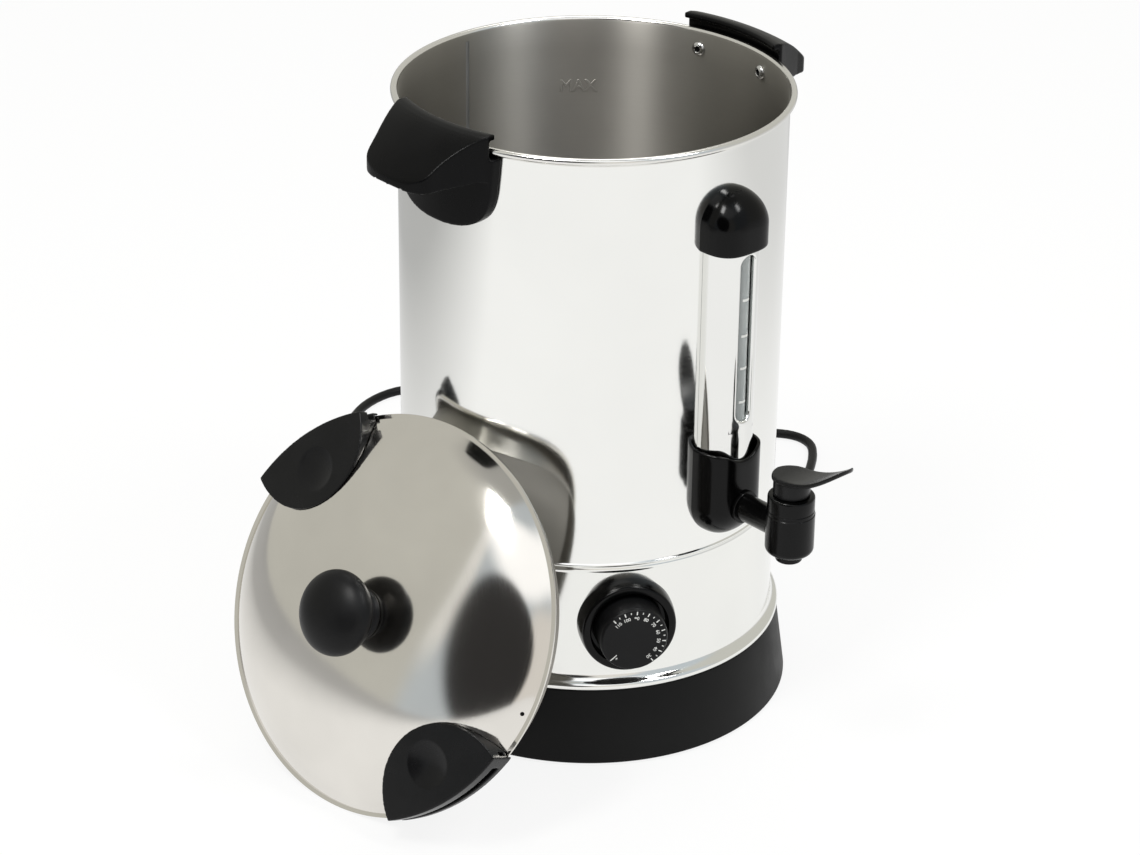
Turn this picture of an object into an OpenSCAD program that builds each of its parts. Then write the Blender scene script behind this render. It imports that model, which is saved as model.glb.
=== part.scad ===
// Heated drink urn: a steel tank on a black foot, with a temperature dial, a level gauge,
// a spring tap and two side handles. Its lid is off and leans on the wall.
// Millimetres, +Z up, the tap faces -Y, the origin is on the table under the middle of the tank.
// An azimuth of 0 is the tap, 90 is +X, 180 is the back.

/* [Tank] */
// Outside radius of the steel wall
tank_r = 112; // [104:0.5:124]
// Thickness of the steel sheet
sheet_t = 1; // [0.8:0.1:1.3]
// Height from the seam to the top of the rim
tank_h = 252; // [225:0.5:290]
// Radius of the wire that the rim is rolled round
rim_wire_r = 2.4; // [1.8:0.1:2.8]
// Radius of the bead at the seam
seam_bead_r = 0.8; // [0.5:0.1:1.2]
// Thickness of the tank floor
floor_t = 1.2; // [0.8:0.1:2]
// Depth of the turned-down edge of the tank floor
floor_edge_h = 10; // [6:0.5:14]

/* [Foot] */
// Height of the black foot
foot_h = 47.8; // [42:0.2:56]
// How far the foot stands out from the wall at the table
foot_out = 10.5; // [8:0.5:13]
// How far the foot stands out from the wall at its top
foot_top_out = 4; // [3:0.25:6]
// Wall of the foot
foot_t = 3; // [2:0.25:4]
// Gap between the table and the foot
foot_clear = 1.5; // [1:0.25:3]
// Height of the steel band, from the foot to the seam
band_h = 80; // [76:0.5:95]
// How far the flange of the band stands out
flange_out = 4.8; // [3:0.2:6]
// Height of the flange
flange_h = 8; // [6:0.5:10]
// Height of the base plate above the table
plate_z = 6.4; // [5:0.2:8]
// Thickness of the base plate
plate_t = 1.6; // [1:0.2:2.4]
// Radius of a rubber foot
pad_r = 8; // [6:0.5:9]
// Distance of the rubber feet from the middle
pad_ring_r = 96; // [88:0.5:98]
// Number of rubber feet and of plate screws
pad_count = 4; // [3:1:6]

/* [Heater] */
// Radius of the heat-spreading plate
heater_plate_r = 90; // [80:1:98]
// Thickness of the heat-spreading plate
heater_plate_t = 4; // [3:0.5:6]
// Radius of the heating ring
element_ring_r = 62; // [56:1:68]
// Radius of the heating tube
element_r = 4; // [3:0.25:5]

/* [Dial] */
// Azimuth of the dial
dial_az = -30.5; // [-36:0.5:-27]
// Height of the dial above the foot
dial_rise = 43.2; // [41:0.2:46]
// Radius of the bezel at the wall
bezel_r = 28.5; // [27:0.25:30]
// How far the bezel stands out
bezel_h = 9.5; // [8:0.5:11]
// Gap round the knob in the bezel
bezel_gap = 2.2; // [1.5:0.1:3]
// Thickness of the bezel floor at its middle
bezel_floor_t = 3.5; // [3:0.25:4.5]
// Radius of the knob
knob_r = 20.3; // [19.5:0.1:21]
// How far the face of the knob stands out from the wall
knob_face_h = 22; // [19:0.5:25]
// Radius of the thermostat shaft
shaft_r = 3; // [2.5:0.25:3.5]
// Distance of the thermostat screws from the shaft
thermostat_screw_x = 14; // [13.5:0.1:14.2]
// Width of the thermostat
thermostat_w = 40; // [38:1:46]

/* [Gauge] */
// Radius of the steel gauge cover
cover_r = 18; // [17.75:0.05:18.2]
// How far the gauge cover stands out
cover_out = 17.6; // [17:0.1:17.7]
// Radius of the glass tube
glass_r = 4.4; // [4:0.1:4.6]
// Wall of the glass tube
glass_t = 1; // [0.8:0.1:1.4]
// Width of the slot in the cover
slot_w = 11.4; // [9:0.2:12]
// Length of the slot
slot_l = 102; // [80:1:106]
// Distance from the slot to the black cap
slot_drop = 2; // [1.5:0.5:6]
// Half width of the black cap
cap_half_w = 20.4; // [20.2:0.1:21.5]
// How far the cap stands out
cap_out = 19.5; // [19.4:0.1:21]
// Wall of the cap
cap_t = 1.6; // [1.2:0.1:1.8]
// Height of the straight part of the cap
cap_straight_h = 14; // [12:0.5:17]
// Distance from the top of the cap to the rim
cap_drop = 27.3; // [24:0.5:32]

/* [Tap] */
// Height of the tap shank above the seam
tap_rise = 33; // [31:0.5:36]
// Distance from the wall to the axis of the tap
tap_reach = 57; // [52:0.5:64]
// Radius of the shank
shank_r = 8; // [7.5:0.1:8.5]
// Radius of the bore of the shank
shank_bore_r = 5; // [4:0.25:5.5]
// Radius of the tap body
tap_r = 14; // [13.5:0.25:15]
// Length of the tap body above and below the shank
tap_half_l = 13.7; // [13:0.1:15]
// Radius of the nozzle
nozzle_r = 7.7; // [7:0.1:8.5]
// Length of the nozzle
nozzle_l = 5; // [4:0.5:8]
// Radius of the chamber in the tap body
chamber_r = 10.5; // [10:0.1:11]
// Height of the bonnet
bonnet_h = 9.3; // [8:0.1:11]
// Radius of the stem
stem_r = 3; // [2.5:0.1:3.2]
// Radius of the lever neck
neck_r = 10.6; // [10:0.1:11.2]
// Height of the lever neck
neck_h = 12; // [11:0.5:14]
// Length of the lever from the axis of the tap to its tip
lever_l = 42; // [36:0.5:48]
// Rise of the lever at its tip
lever_rise = 20; // [16:0.5:22]
// Thickness of the lever
lever_t = 3; // [2.5:0.1:3.5]
// Half width of the lever paddle
lever_half_w = 12.5; // [12:0.25:14]
// Half width of the tap housing at the wall
housing_half_w = 20.6; // [20.5:0.1:22]
// How far the tap housing stands out
housing_out = 19.9; // [19.8:0.1:21]
// Wall of the tap housing
housing_t = 2; // [1.5:0.1:2.2]
// Height of the housing above the shank
housing_rise = 35; // [32:0.5:38]
// Depth of the hollow in the upper edge of the housing
scallop_h = 5.5; // [4:0.5:8]

/* [Handles] */
// Half angle of a handle along the rim
grip_half_deg = 19; // [17:0.5:21]
// Height of the crown of a handle above the rim
crown_rise = 8; // [7:0.25:10]
// How far a handle reaches out from the wall
grip_out = 40; // [34:0.5:46]
// Fall of the grip from its crown to its outer edge
grip_fall = 24; // [20:0.5:28]
// Thickness of the grip
grip_t = 3.8; // [3:0.1:4.5]
// Half width of the grip at its outer edge
grip_tip_half_w = 24; // [20:0.5:28]
// Half width of the mounting plate
saddle_half_w = 41; // [39:0.5:44]
// Depth of the mounting plate below the rim
saddle_drop = 51; // [46:0.5:58]
// Thickness of the mounting plate
saddle_t = 6.4; // [6:0.1:8]
// Angle between the middle of a handle and a screw
handle_screw_deg = 13.5; // [12:0.25:15]
// Distance of the handle screws below the rim
handle_screw_drop = 12; // [11:0.5:14]
// Radius of a handle screw
handle_screw_r = 2.45; // [2:0.05:2.8]
// Height of the groove that takes the lid lugs
groove_h = 4.6; // [4.4:0.1:5]

/* [Lid] */
// How far the lid reaches out past the wall
lid_over = 3.25; // [3:0.25:4]
// Rise of the dome
dome_rise = 28; // [25:0.5:30]
// Depth of the ring under the lid
lid_ring_h = 14.5; // [10:0.5:18]
// Gap between the ring of the lid and the tank
lid_ring_gap = 3.5; // [2.5:0.1:4.5]
// Lean of the lid from upright
lid_lean = 25.3; // [22:0.1:28]
// Azimuth that the lid faces
lid_az = -81; // [-90:0.5:-75]
// Azimuth of the place where the lid stands
lid_place_az = -83.3; // [-92:0.1:-78]
// Gap between the lid and the wall or the table
lid_gap = 0.3; // [0.2:0.05:0.6]
// Direction of the first lug in the plane of the lid
lug_turn = -44.5; // [-55:0.5:-35]
// Radius of a lug
lug_r = 41; // [38:0.5:43]
// Height of the outer edge of a lug above the plane of the rim
lug_h = 15.5; // [14:0.25:17]
// Height of the tongue of a lug above the plane of the rim
tongue_top = 2.8; // [2.6:0.05:2.9]
// Height of the groove of a lug, which takes the lip of a handle
lug_groove_h = 5.5; // [4:0.1:6]
// Radius of the lid knob
lid_knob_r = 24.5; // [22:0.25:27]
// Height of the lid knob
lid_knob_h = 34; // [32:0.5:37]
// Half height of the ball of the lid knob
lid_ball_half_h = 12.5; // [11:0.5:14]
// Height of the foot of the lid knob
lid_knob_foot_h = 3; // [2.5:0.25:4]
// Radius of the lid knob at its foot
lid_knob_foot_r = 15; // [14:0.25:17]
// Radius of the lid knob at its waist
lid_knob_waist_r = 12; // [11:0.25:13]

/* [Cord] */
// Diameter of the mains cord
cord_d = 6.3; // [5.8:0.1:6.4]
// Height of the cord gland
gland_z = 17; // [15:0.5:22]
// Length of the strain relief
relief_l = 28; // [22:0.5:34]
// Radius of the first loop of the coil
coil_r = 42; // [40:0.5:44]
// Step between two loops of the coil
coil_step = 7; // [6.9:0.05:7.4]
// Height of the plug
plug_h = 24; // [20:0.5:28]
// Radius of the plug
plug_r = 18.5; // [17:0.25:19]

/* [Hidden] */
$fn = 96;

// Clearances: a fixed fit, a running fit, a seat between curved faces and a screw hole
fit = 0.05;
run = 0.06;
seat = 0.1;
hole_gap = 0.3;
through = 400;

// Main heights
seam_z = foot_h + band_h;
rim_z = seam_z + tank_h;
tank_in_r = tank_r - sheet_t;
wire_r = tank_r + 2;
wire_z = rim_z - rim_wire_r;
bead_out_r = wire_r + rim_wire_r;
floor_z = seam_z + 0.6;
plate_top_z = plate_z + plate_t;

// Foot
foot_r = tank_r + foot_out;
foot_top_r = tank_r + foot_top_out;
foot_slope = (foot_r - foot_top_r) / (foot_h - foot_clear);
spigot_t = 2.7;
spigot_h = 8;
ledge_t = 2.5;
ledge_w = 8;
boss_r = 4.5;
boss_h = 18;
plate_screw_r = 1.9;
plate_screw_head_r = 3.8;
plate_screw_head_t = 2.2;
plate_screw_l = 15;
plate_gap = 0.8;
pad_neck_r = 3;
pad_head_r = 4.6;
pad_head_h = 3;
vent_count = 24;
vent_w = 3;
vent_l = 20;
vent_ring_r = 66;

// Heater and wiring
heater_bottom_z = floor_z - heater_plate_t;
element_z = heater_bottom_z - element_r - fit;
element_deg = 310;
element_start = 115;
element_leg = 14;
pin_r = 1.6;
pin_l = 8;
cutout_r = 8;
cutout_h = 6;
cutout_flange_r = 12;
cutout_flange_t = 1.2;
cutout_pos = [0, 34];
tab_w = 6.3;
tab_t = 0.8;
tab_l = 9;
bulb_r = 3;
bulb_l = 70;
bulb_y = -22;
capillary_r = 0.9;
block_w = 32;
block_d = 18;
block_h = 14;
block_y = 62;
wire_tube_r = 1.4;
sheath_r = 3.1;
wire_slack = 12;
wire_gap = 0.6;
wire_step = [8, -4, 6];
earth_pos = [34, 66];

// Dial and thermostat
dial_z = foot_h + dial_rise;
bezel_draft = 1;
recess_r = knob_r + bezel_gap;
knob_back_h = bezel_floor_t + 0.8;
knob_wall = 2.3;
knob_face_t = 4;
knob_edge = 1.5;
hub_r = 6;
hub_low_h = bezel_floor_t + 0.4;
bush_r = 5;
bush_out = 1;
thermostat_front = tank_in_r - 2.6;
thermostat_d = 22;
thermostat_h = 32;
thermostat_boss_r = 4.2;
thermostat_screw_r = 1.95;
thermostat_head_r = 3.2;
thermostat_head_t = 1.8;
thermostat_screw_l = 8;
shaft_in = 12;

// Gauge
cover_axis_r = tank_r + cover_out - cover_r;
cover_t = 1;
glass_axis_r = tank_r + cover_out - cover_t - glass_r - 0.6;
cap_top_z = rim_z - cap_drop;
cap_low_z = cap_top_z - cap_half_w - cap_straight_h;
cover_square = 3;
cover_steps = 10;
slot_top_z = cap_low_z - slot_drop;
cover_top_z = cap_low_z + cap_straight_h + 4;
cover_low_z = seam_z + tap_rise + 16;
glass_top_z = cap_low_z + cap_straight_h;
cap_screw_z = cap_low_z + cap_straight_h + 8;
cap_screw_r = 1.95;
cap_screw_head_r = 4;
cap_screw_head_t = 2;
cap_boss_r = 4.5;
cap_screw_l = 7;
seal_h = 3;
seal_t = 0.5;
tee_r = 11.5;
tee_in = 2.3;
tee_out = cover_out - 3;
tee_socket_r = glass_r + 1.2;
tee_socket_h = 15.4;
tee_port_r = 2.5;
glass_low_z = seam_z + tap_rise + 9.4;

// Tap
tap_z = seam_z + tap_rise;
tap_y = tank_r + tap_reach;
tap_low_z = tap_z - tap_half_l;
tap_top_z = tap_z + tap_half_l;
tap_round = 4;
tap_seat_z = tap_low_z + 3;
shank_in = 13;
shoulder_r = 9.8;
shoulder_t = 2;
gasket_r = 12.5;
outer_gasket_r = shank_r + 1.2;
nut_r = 15;
nut_t = 6;
nut_face = tank_in_r - 2.9;
bonnet_z = tap_top_z;
bonnet_top_z = bonnet_z + bonnet_h;
bonnet_r = tap_r - 0.5;
bonnet_round = 2;
bonnet_top_t = 2.2;
spigot_wall = 2;
bonnet_spigot_h = 6;
cup_r = 7.5;
cup_h = 7;
cup_seat = 0.05;
spring_r = 5.4;
spring_wire_r = 0.6;
spring_turns = 7;
cup_top_z = tap_seat_z + cup_h + cup_seat;
spring_low_z = cup_top_z + spring_wire_r + 0.3;
spring_high_z = bonnet_top_z - bonnet_top_t - spring_wire_r - 0.3;
lever_gap = 0.3;
neck_z = bonnet_top_z + lever_gap;
pin_z = neck_z + 6;
lever_pin_r = 1.5;
lever_pin_half_l = neck_r - 1;
stem_low_z = tap_seat_z + 2;
stem_top_z = pin_z + 3.4;
lever_slot_half_l = 8;
lever_z = neck_z + neck_h;
lever_disc_r = neck_r + 1.1;

// Housing
housing_low_z = tap_z - 22.5;
housing_dome_h = housing_half_w;
housing_top_z = tap_z + housing_rise;
scallop_half_w = housing_half_w - 5;
scallop_r = (scallop_half_w * scallop_half_w + scallop_h * scallop_h) / (2 * scallop_h);
dome_steps = 7;

// Handles
crown_z = rim_z + crown_rise;
riser_in_r = bead_out_r + 0.6;
riser_t = 3.4;
riser_low = rim_z - 18;
grip_bend = 1.5;
cheek_t = 2.6;
cheek_in = 12;
lip_in_r = tank_r + 0.6;
lip_low_z = rim_z + groove_h;
saddle_top_z = rim_z - 2 * rim_wire_r - 0.6;
saddle_low_z = rim_z - saddle_drop;
grip_tip_r = tank_r + grip_out;
grip_round = 12;
handle_screw_head_r = 4.5;
handle_screw_head_t = 2.2;
handle_screw_z = rim_z - handle_screw_drop;
riser_out_r = riser_in_r + riser_t;
handle_screw_reach = riser_out_r - tank_r - 1.5;

// Lid
lid_r = tank_r + lid_over;
lid_ring_r = tank_in_r - lid_ring_gap;
lid_wire_r = 1.6;
lid_wire_ring_r = lid_r - lid_wire_r;
dome_r = lid_wire_ring_r - 1;
dome_flat = 0.65;
dome_turn = 8;
dome_steps_n = 32;
lid_far = (tank_r + lid_gap + lid_ring_h * cos(lid_lean) + lid_ring_r * sin(lid_lean))
    / cos(lid_az - lid_place_az);
lid_z = lid_r * cos(lid_lean) + lid_gap;
lug_mid_r = lid_r - 1.75;
lug_out_r = riser_in_r - 0.2;
lug_groove_r = lip_in_r - 0.3;
tongue_low = -1.5;
lug_rivet_r = 1.9;
lug_rivet_head_r = 3.6;
lug_rivet_head_t = 1.4;
lug_rivet_ring_r = lid_r - 24;
lug_rivet_half_deg = 12;
lug_rivet_l = 4.4;
lug_rivet_drop = 1.8;
lug_slope = 0.13;
lug_stop_l = 33;
vent_r = 1.2;
vent_deg = -11;
vent_mid_r = lid_ring_r + 2.6;
scoop_r = 40;
scoop_depth = 2;
knob_screw_r = 2.4;
knob_screw_head_r = 4.6;
knob_screw_head_t = 3;
knob_screw_l = 22;
knob_washer_r = 9;
knob_washer_t = 1.5;

// Cord
cord_r = cord_d / 2;
gland_r = tank_r + foot_out - foot_slope * (gland_z - foot_clear);
gland_neck_r = 6;
gland_flange_r = 9;
gland_flange_t = 2.6;
gland_lock_r = 7.6;
gland_lock_t = 2.5;
gland_play = 1.7;
relief_tip_r = 4.4;
relief_root_r = 7;
relief_ribs = 5;
relief_end = gland_r + gland_flange_t + relief_l;
cord_sides = 10;
coil_sides = 6;
coil_centre = [132, 235];
coil_start_deg = 225;
coil_turns_in = 1.75;
coil_turns = 3;
coil_rings = 24;
coil_layer_h = cord_d + 0.5;
coil_joint = 0.2;
tail_l = 44;
plug_relief_l = 26;
plug_z = cord_r + coil_layer_h;
plug_pin_r = 2.4;
plug_pin_l = 19;
plug_pin_half_gap = 9.5;

// Route of the lead from the gland to the coil, on the table at the cord's own radius
lead_points = [
    [0, 172, 14], [8, 195, 8], [28, 211, 3.6], [56, 208, 3.2], [86, 186, 3.2], [118, 150, 3.2],
    [150, 112, 3.2], [186, 82, 3.2], [225, 68, 3.2], [262, 72, 3.2], [288, 87, 3.2], [307, 104, 3.2],
    [313, 116, 3.2], [312, 128, 3.2], [304, 140, 3.2], [284, 161, 3.2], [260, 193, 3.2], [238, 229, 3.2],
    [219, 267, 3.2], [200, 305, 3.2], [180, 336, 3.2], [164, 354, 3.2], [146, 363, 3.2], [126, 363, 3.2],
    [106, 356, 3.2], [86, 342, 3.2], [71, 323, 3.2], [62, 300, 3.2], [60, 274, 3.2], [67, 248, 3.2],
    [80, 228, 3.2]
];

// Points on an arc in a plane
function arc(c, r, a0, a1, n) = [
    for (i = [0:n]) c + r * [cos(a0 + (a1 - a0) * i / n), sin(a0 + (a1 - a0) * i / n)]
];

// Unit vector, smooth curve through four points, and a whole smoothed route
function unit(v) = v / norm(v);
function spline(p, t) = 0.5 * (2 * p[1] + (p[2] - p[0]) * t
    + (2 * p[0] - 5 * p[1] + 4 * p[2] - p[3]) * t * t
    + (3 * p[1] - p[0] - 3 * p[2] + p[3]) * t * t * t);
function near(pts, i) = pts[max(0, min(len(pts) - 1, i))];
function smooth(pts, n) = [
    for (i = [0:len(pts) - 2]) for (k = [0:n - 1])
        spline([near(pts, i - 1), pts[i], pts[i + 1], near(pts, i + 2)], k / n),
    pts[len(pts) - 1]
];
function route_length(pts, i = 0) = i >= len(pts) - 1 ? 0
    : norm(pts[i + 1] - pts[i]) + route_length(pts, i + 1);

// Ring of points round a route, and the tube that joins the rings
function along(pts, i) = unit(near(pts, i + 1) - near(pts, i - 1));
function ring(p, dir, r, sides, up) = let (s = unit(cross(dir, up)), u = cross(s, dir))
    [for (k = [0:sides - 1]) p + r * (cos(360 * k / sides) * s + sin(360 * k / sides) * u)];
module tube(pts, r, sides, up = [0, 0, 1]) {
    n = len(pts);
    rings = [for (i = [0:n - 1]) each ring(pts[i], along(pts, i), r, sides, up)];
    walls = [
        for (j = [0:n - 2]) for (k = [0:sides - 1])
            let (a = j * sides + k, b = j * sides + (k + 1) % sides)
                each [[a, b, b + sides], [a, b + sides, a + sides]]
    ];
    first_cap = [for (k = [1:sides - 2]) [0, k + 1, k]];
    last = (n - 1) * sides;
    last_cap = [for (k = [1:sides - 2]) [last, last + k, last + k + 1]];
    polyhedron(rings, concat(walls, first_cap, last_cap));
}

// Stands its child at an azimuth: the child's Z points outward and its Y points up
module outward(az, r, z) {
    rotate([0, 0, az]) translate([0, -r, z]) rotate([90, 0, 0]) children();
}

// Puts a copy of its child at each of the equal steps of a circle
module each_step(count, first = 0) {
    for (i = [0:count - 1]) rotate([0, 0, first + 360 * i / count]) children();
}

// The space that the tank wall takes, grown by a gap
module wall_space(gap) {
    translate([0, 0, -1]) cylinder(r = tank_r + gap, h = rim_z + 2, $fn = 180);
}

// The space that the gauge cover takes, grown by a gap
module gauge_space(gap) {
    translate([0, -cover_axis_r, cover_low_z - gap])
        cylinder(r = cover_r + gap, h = cover_top_z - cover_low_z + 2 * gap);
}

module tank_wall() {
    color("gainsboro") difference() {
        rotate_extrude($fn = 180) {
            translate([tank_in_r, seam_z]) square([sheet_t, wire_z - seam_z]);
            translate([wire_r, wire_z]) circle(rim_wire_r, $fn = 32);
            translate([tank_in_r + seam_bead_r + seat, seam_z + seam_bead_r]) circle(seam_bead_r, $fn = 24);
        }
        outward(0, tank_r - 10, tap_z) cylinder(r = shank_r + hole_gap, h = 20);
        outward(0, tank_r - 10, cap_screw_z) cylinder(r = cap_screw_r + hole_gap, h = 20);
        for (az = handle_azimuths(), side = [-1, 1])
            outward(az + side * handle_screw_deg, tank_r - 10, handle_screw_z)
                cylinder(r = handle_screw_r + seat, h = 20, $fn = 32);
    }
}

module tank_floor() {
    edge_r = tank_in_r - seat;
    color("darkgray") rotate_extrude($fn = 180) {
        translate([0, floor_z]) square([edge_r, floor_t]);
        translate([edge_r - sheet_t, floor_z + floor_t - floor_edge_h]) square([sheet_t, floor_edge_h]);
    }
}

module base_band() {
    top = seam_z - seat;
    profile = [
        [tank_in_r, foot_h], [tank_r + flange_out, foot_h], [tank_r + flange_out, foot_h + 0.4 * flange_h],
        [tank_r + 0.6 * flange_out, foot_h + 0.75 * flange_h], [tank_r, foot_h + flange_h],
        [tank_r, top], [tank_in_r, top]
    ];
    color("gainsboro") difference() {
        rotate_extrude($fn = 180) polygon(profile);
        outward(dial_az, tank_r - 10, dial_z) cylinder(r = bush_r + hole_gap, h = 20);
        for (x = [-1, 1]) outward(dial_az, tank_r - 10, dial_z)
            translate([x * thermostat_screw_x, 0, 0]) cylinder(r = thermostat_screw_r + hole_gap, h = 20);
    }
}

module base_skirt() {
    spigot_r = tank_in_r - hole_gap;
    inner_top = foot_h - foot_t;
    inner_r = foot_r - foot_t - foot_slope * (plate_top_z - foot_clear);
    profile = [
        [foot_r - foot_t, foot_clear], [foot_r, foot_clear], [foot_top_r, foot_h], [spigot_r, foot_h],
        [spigot_r, foot_h + spigot_h], [spigot_r - spigot_t, foot_h + spigot_h],
        [spigot_r - spigot_t, inner_top],
        [foot_top_r - foot_t, inner_top]
    ];
    color("#2a2a2c") difference() {
        union() {
            rotate_extrude($fn = 180) {
                polygon(profile);
                translate([inner_r - ledge_w, plate_top_z]) square([ledge_w + foot_t / 2, ledge_t]);
            }
            each_step(pad_count, 45) translate([inner_r - boss_r, 0, plate_top_z])
                cylinder(r = boss_r, h = boss_h, $fn = 32);
        }
        each_step(pad_count, 45) translate([inner_r - boss_r, 0, plate_top_z - 1])
            cylinder(r = plate_screw_r + fit, h = plate_screw_l, $fn = 32);
        outward(180, gland_r - 20, gland_z) cylinder(r = gland_neck_r + seat, h = 40);
        outward(180, gland_r - 20, gland_z)
            cylinder(r = gland_lock_r + hole_gap, h = 20 - foot_t - gland_play + hole_gap, $fn = 48);
    }
}

// Distance of the plate screws from the middle
function plate_screw_ring() = foot_r - foot_t - foot_slope * (plate_top_z - foot_clear) - boss_r;

module base_plate() {
    rim = foot_r - foot_t - foot_slope * (plate_top_z - foot_clear) - plate_gap;
    color("#3a3a3c") difference() {
        translate([0, 0, plate_z]) cylinder(r = rim, h = plate_t, $fn = 180);
        each_step(pad_count, 45) translate([plate_screw_ring(), 0, 0])
            cylinder(r = plate_screw_r + hole_gap, h = 20, $fn = 32);
        each_step(pad_count) translate([pad_ring_r, 0, 0])
            cylinder(r = pad_neck_r + seat, h = 20, $fn = 32);
        each_step(vent_count) translate([vent_ring_r, -vent_w / 2, 0]) cube([vent_l, vent_w, 20]);
        translate([earth_pos[0], earth_pos[1], 0]) cylinder(r = 2.2, h = 20, $fn = 32);
        for (x = [-1, 1]) translate([x * block_w / 3.2, block_y, 0]) cylinder(r = 1.6, h = 20, $fn = 32);
    }
}

module base_plate_screws() {
    color("silver") each_step(pad_count, 45) translate([plate_screw_ring(), 0, plate_z]) {
        translate([0, 0, -plate_screw_head_t])
            cylinder(r = plate_screw_head_r, h = plate_screw_head_t, $fn = 32);
        cylinder(r = plate_screw_r, h = plate_screw_l - 2, $fn = 32);
    }
}

module rubber_feet() {
    profile = [
        [0, 0], [pad_r - 1, 0], [pad_r, 1], [pad_r, plate_z], [pad_neck_r, plate_z],
        [pad_neck_r, plate_top_z], [pad_head_r, plate_top_z], [pad_neck_r, plate_top_z + pad_head_h],
        [0, plate_top_z + pad_head_h]
    ];
    color("#1c1c1c") each_step(pad_count) translate([pad_ring_r, 0, 0]) rotate_extrude($fn = 32)
        polygon(profile);
}

module heater_plate() {
    color("lightgray") translate([0, 0, heater_bottom_z]) cylinder(r = heater_plate_r, h = heater_plate_t);
}

module heating_element() {
    color("dimgray") {
        rotate([0, 0, element_start]) rotate_extrude(angle = element_deg)
            translate([element_ring_r, element_z]) circle(element_r, $fn = 32);
        for (a = [element_start, element_start + element_deg])
            rotate([0, 0, a]) translate([element_ring_r, 0, element_z]) {
                sphere(element_r, $fn = 32);
                translate([0, 0, -element_leg]) cylinder(r = element_r, h = element_leg, $fn = 32);
                translate([0, 0, -element_leg - pin_l]) cylinder(r = pin_r, h = pin_l, $fn = 24);
            }
    }
}

module thermal_cutout() {
    color("#d8d4c8") translate([cutout_pos[0], cutout_pos[1], heater_bottom_z]) {
        translate([0, 0, -cutout_flange_t]) cylinder(r = cutout_flange_r, h = cutout_flange_t, $fn = 48);
        translate([0, 0, -cutout_h - cutout_flange_t]) cylinder(r = cutout_r, h = cutout_h, $fn = 48);
        for (x = [-1, 1])
            translate([x * cutout_r / 2 - tab_t / 2, -tab_w / 2, -cutout_h - cutout_flange_t - tab_l])
            cube([tab_t, tab_w, tab_l]);
    }
}

module thermostat_body() {
    color("#e6e2d6") difference() {
        union() {
            outward(dial_az, thermostat_front - thermostat_d, dial_z)
                translate([-thermostat_w / 2, -thermostat_h / 2, 0])
                    cube([thermostat_w, thermostat_h, thermostat_d]);
            outward(dial_az, thermostat_front, dial_z)
                cylinder(r = bush_r, h = tank_r + bush_out - thermostat_front);
            intersection() {
                for (x = [-1, 1]) outward(dial_az, thermostat_front, dial_z)
                    translate([x * thermostat_screw_x, 0, 0]) cylinder(r = thermostat_boss_r, h = 10);
                cylinder(r = tank_in_r - seat, h = through, $fn = 180);
            }
        }
        outward(dial_az, thermostat_front - shaft_in - 1, dial_z) cylinder(r = shaft_r + run, h = 60);
        for (x = [-1, 1]) outward(dial_az, thermostat_front - thermostat_screw_l, dial_z)
            translate([x * thermostat_screw_x, 0, 0]) cylinder(r = thermostat_screw_r + fit, h = 60);
    }
}

module thermostat_screws() {
    tip = thermostat_front - thermostat_screw_l + 1;
    head = tank_r + bezel_floor_t;
    color("silver") for (x = [-1, 1]) outward(dial_az, tip, dial_z)
        translate([x * thermostat_screw_x, 0, 0]) {
        cylinder(r = thermostat_screw_r, h = head - tip, $fn = 32);
        translate([0, 0, head - tip]) cylinder(r = thermostat_head_r, h = thermostat_head_t, $fn = 32);
    }
}

// A point at an azimuth, a distance from the axis and a height
function polar(az, r, z) = [r * sin(az), -r * cos(az), z];

module thermostat_bulb() {
    bulb_z = heater_bottom_z - bulb_r - fit;
    back = thermostat_front - thermostat_d;
    capillary = [
        [-bulb_l / 2, bulb_y, bulb_z], [-bulb_l / 2 - 8, bulb_y, bulb_z - 1],
        [-bulb_l / 2 - 12, bulb_y - 6, bulb_z - 8],
        [-bulb_l / 2 - 9, bulb_y - 12, bulb_z - 16], polar(dial_az, back - 14, dial_z + 4),
        polar(dial_az, back - 5, dial_z), polar(dial_az, back - 0.2, dial_z)
    ];
    color("peru") {
        translate([-bulb_l / 2, bulb_y, bulb_z]) rotate([0, 90, 0])
            cylinder(r = bulb_r, h = bulb_l, $fn = 32);
        tube(smooth(capillary, 4), capillary_r, 8, [0.3, 1, 0.2]);
    }
}

module terminal_block() {
    color("#efece2") difference() {
        translate([-block_w / 2, block_y - block_d / 2, plate_top_z]) cube([block_w, block_d, block_h]);
        for (i = [-1:1]) {
            translate([i * block_w / 3.2, block_y - block_d, plate_top_z + block_h / 2])
                rotate([-90, 0, 0]) cylinder(r = sheath_r - 0.6, h = 2 * block_d, $fn = 32);
            translate([i * block_w / 3.2, block_y, plate_top_z - 1])
                cylinder(r = 1.6, h = block_h + 2, $fn = 32);
        }
    }
}

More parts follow.
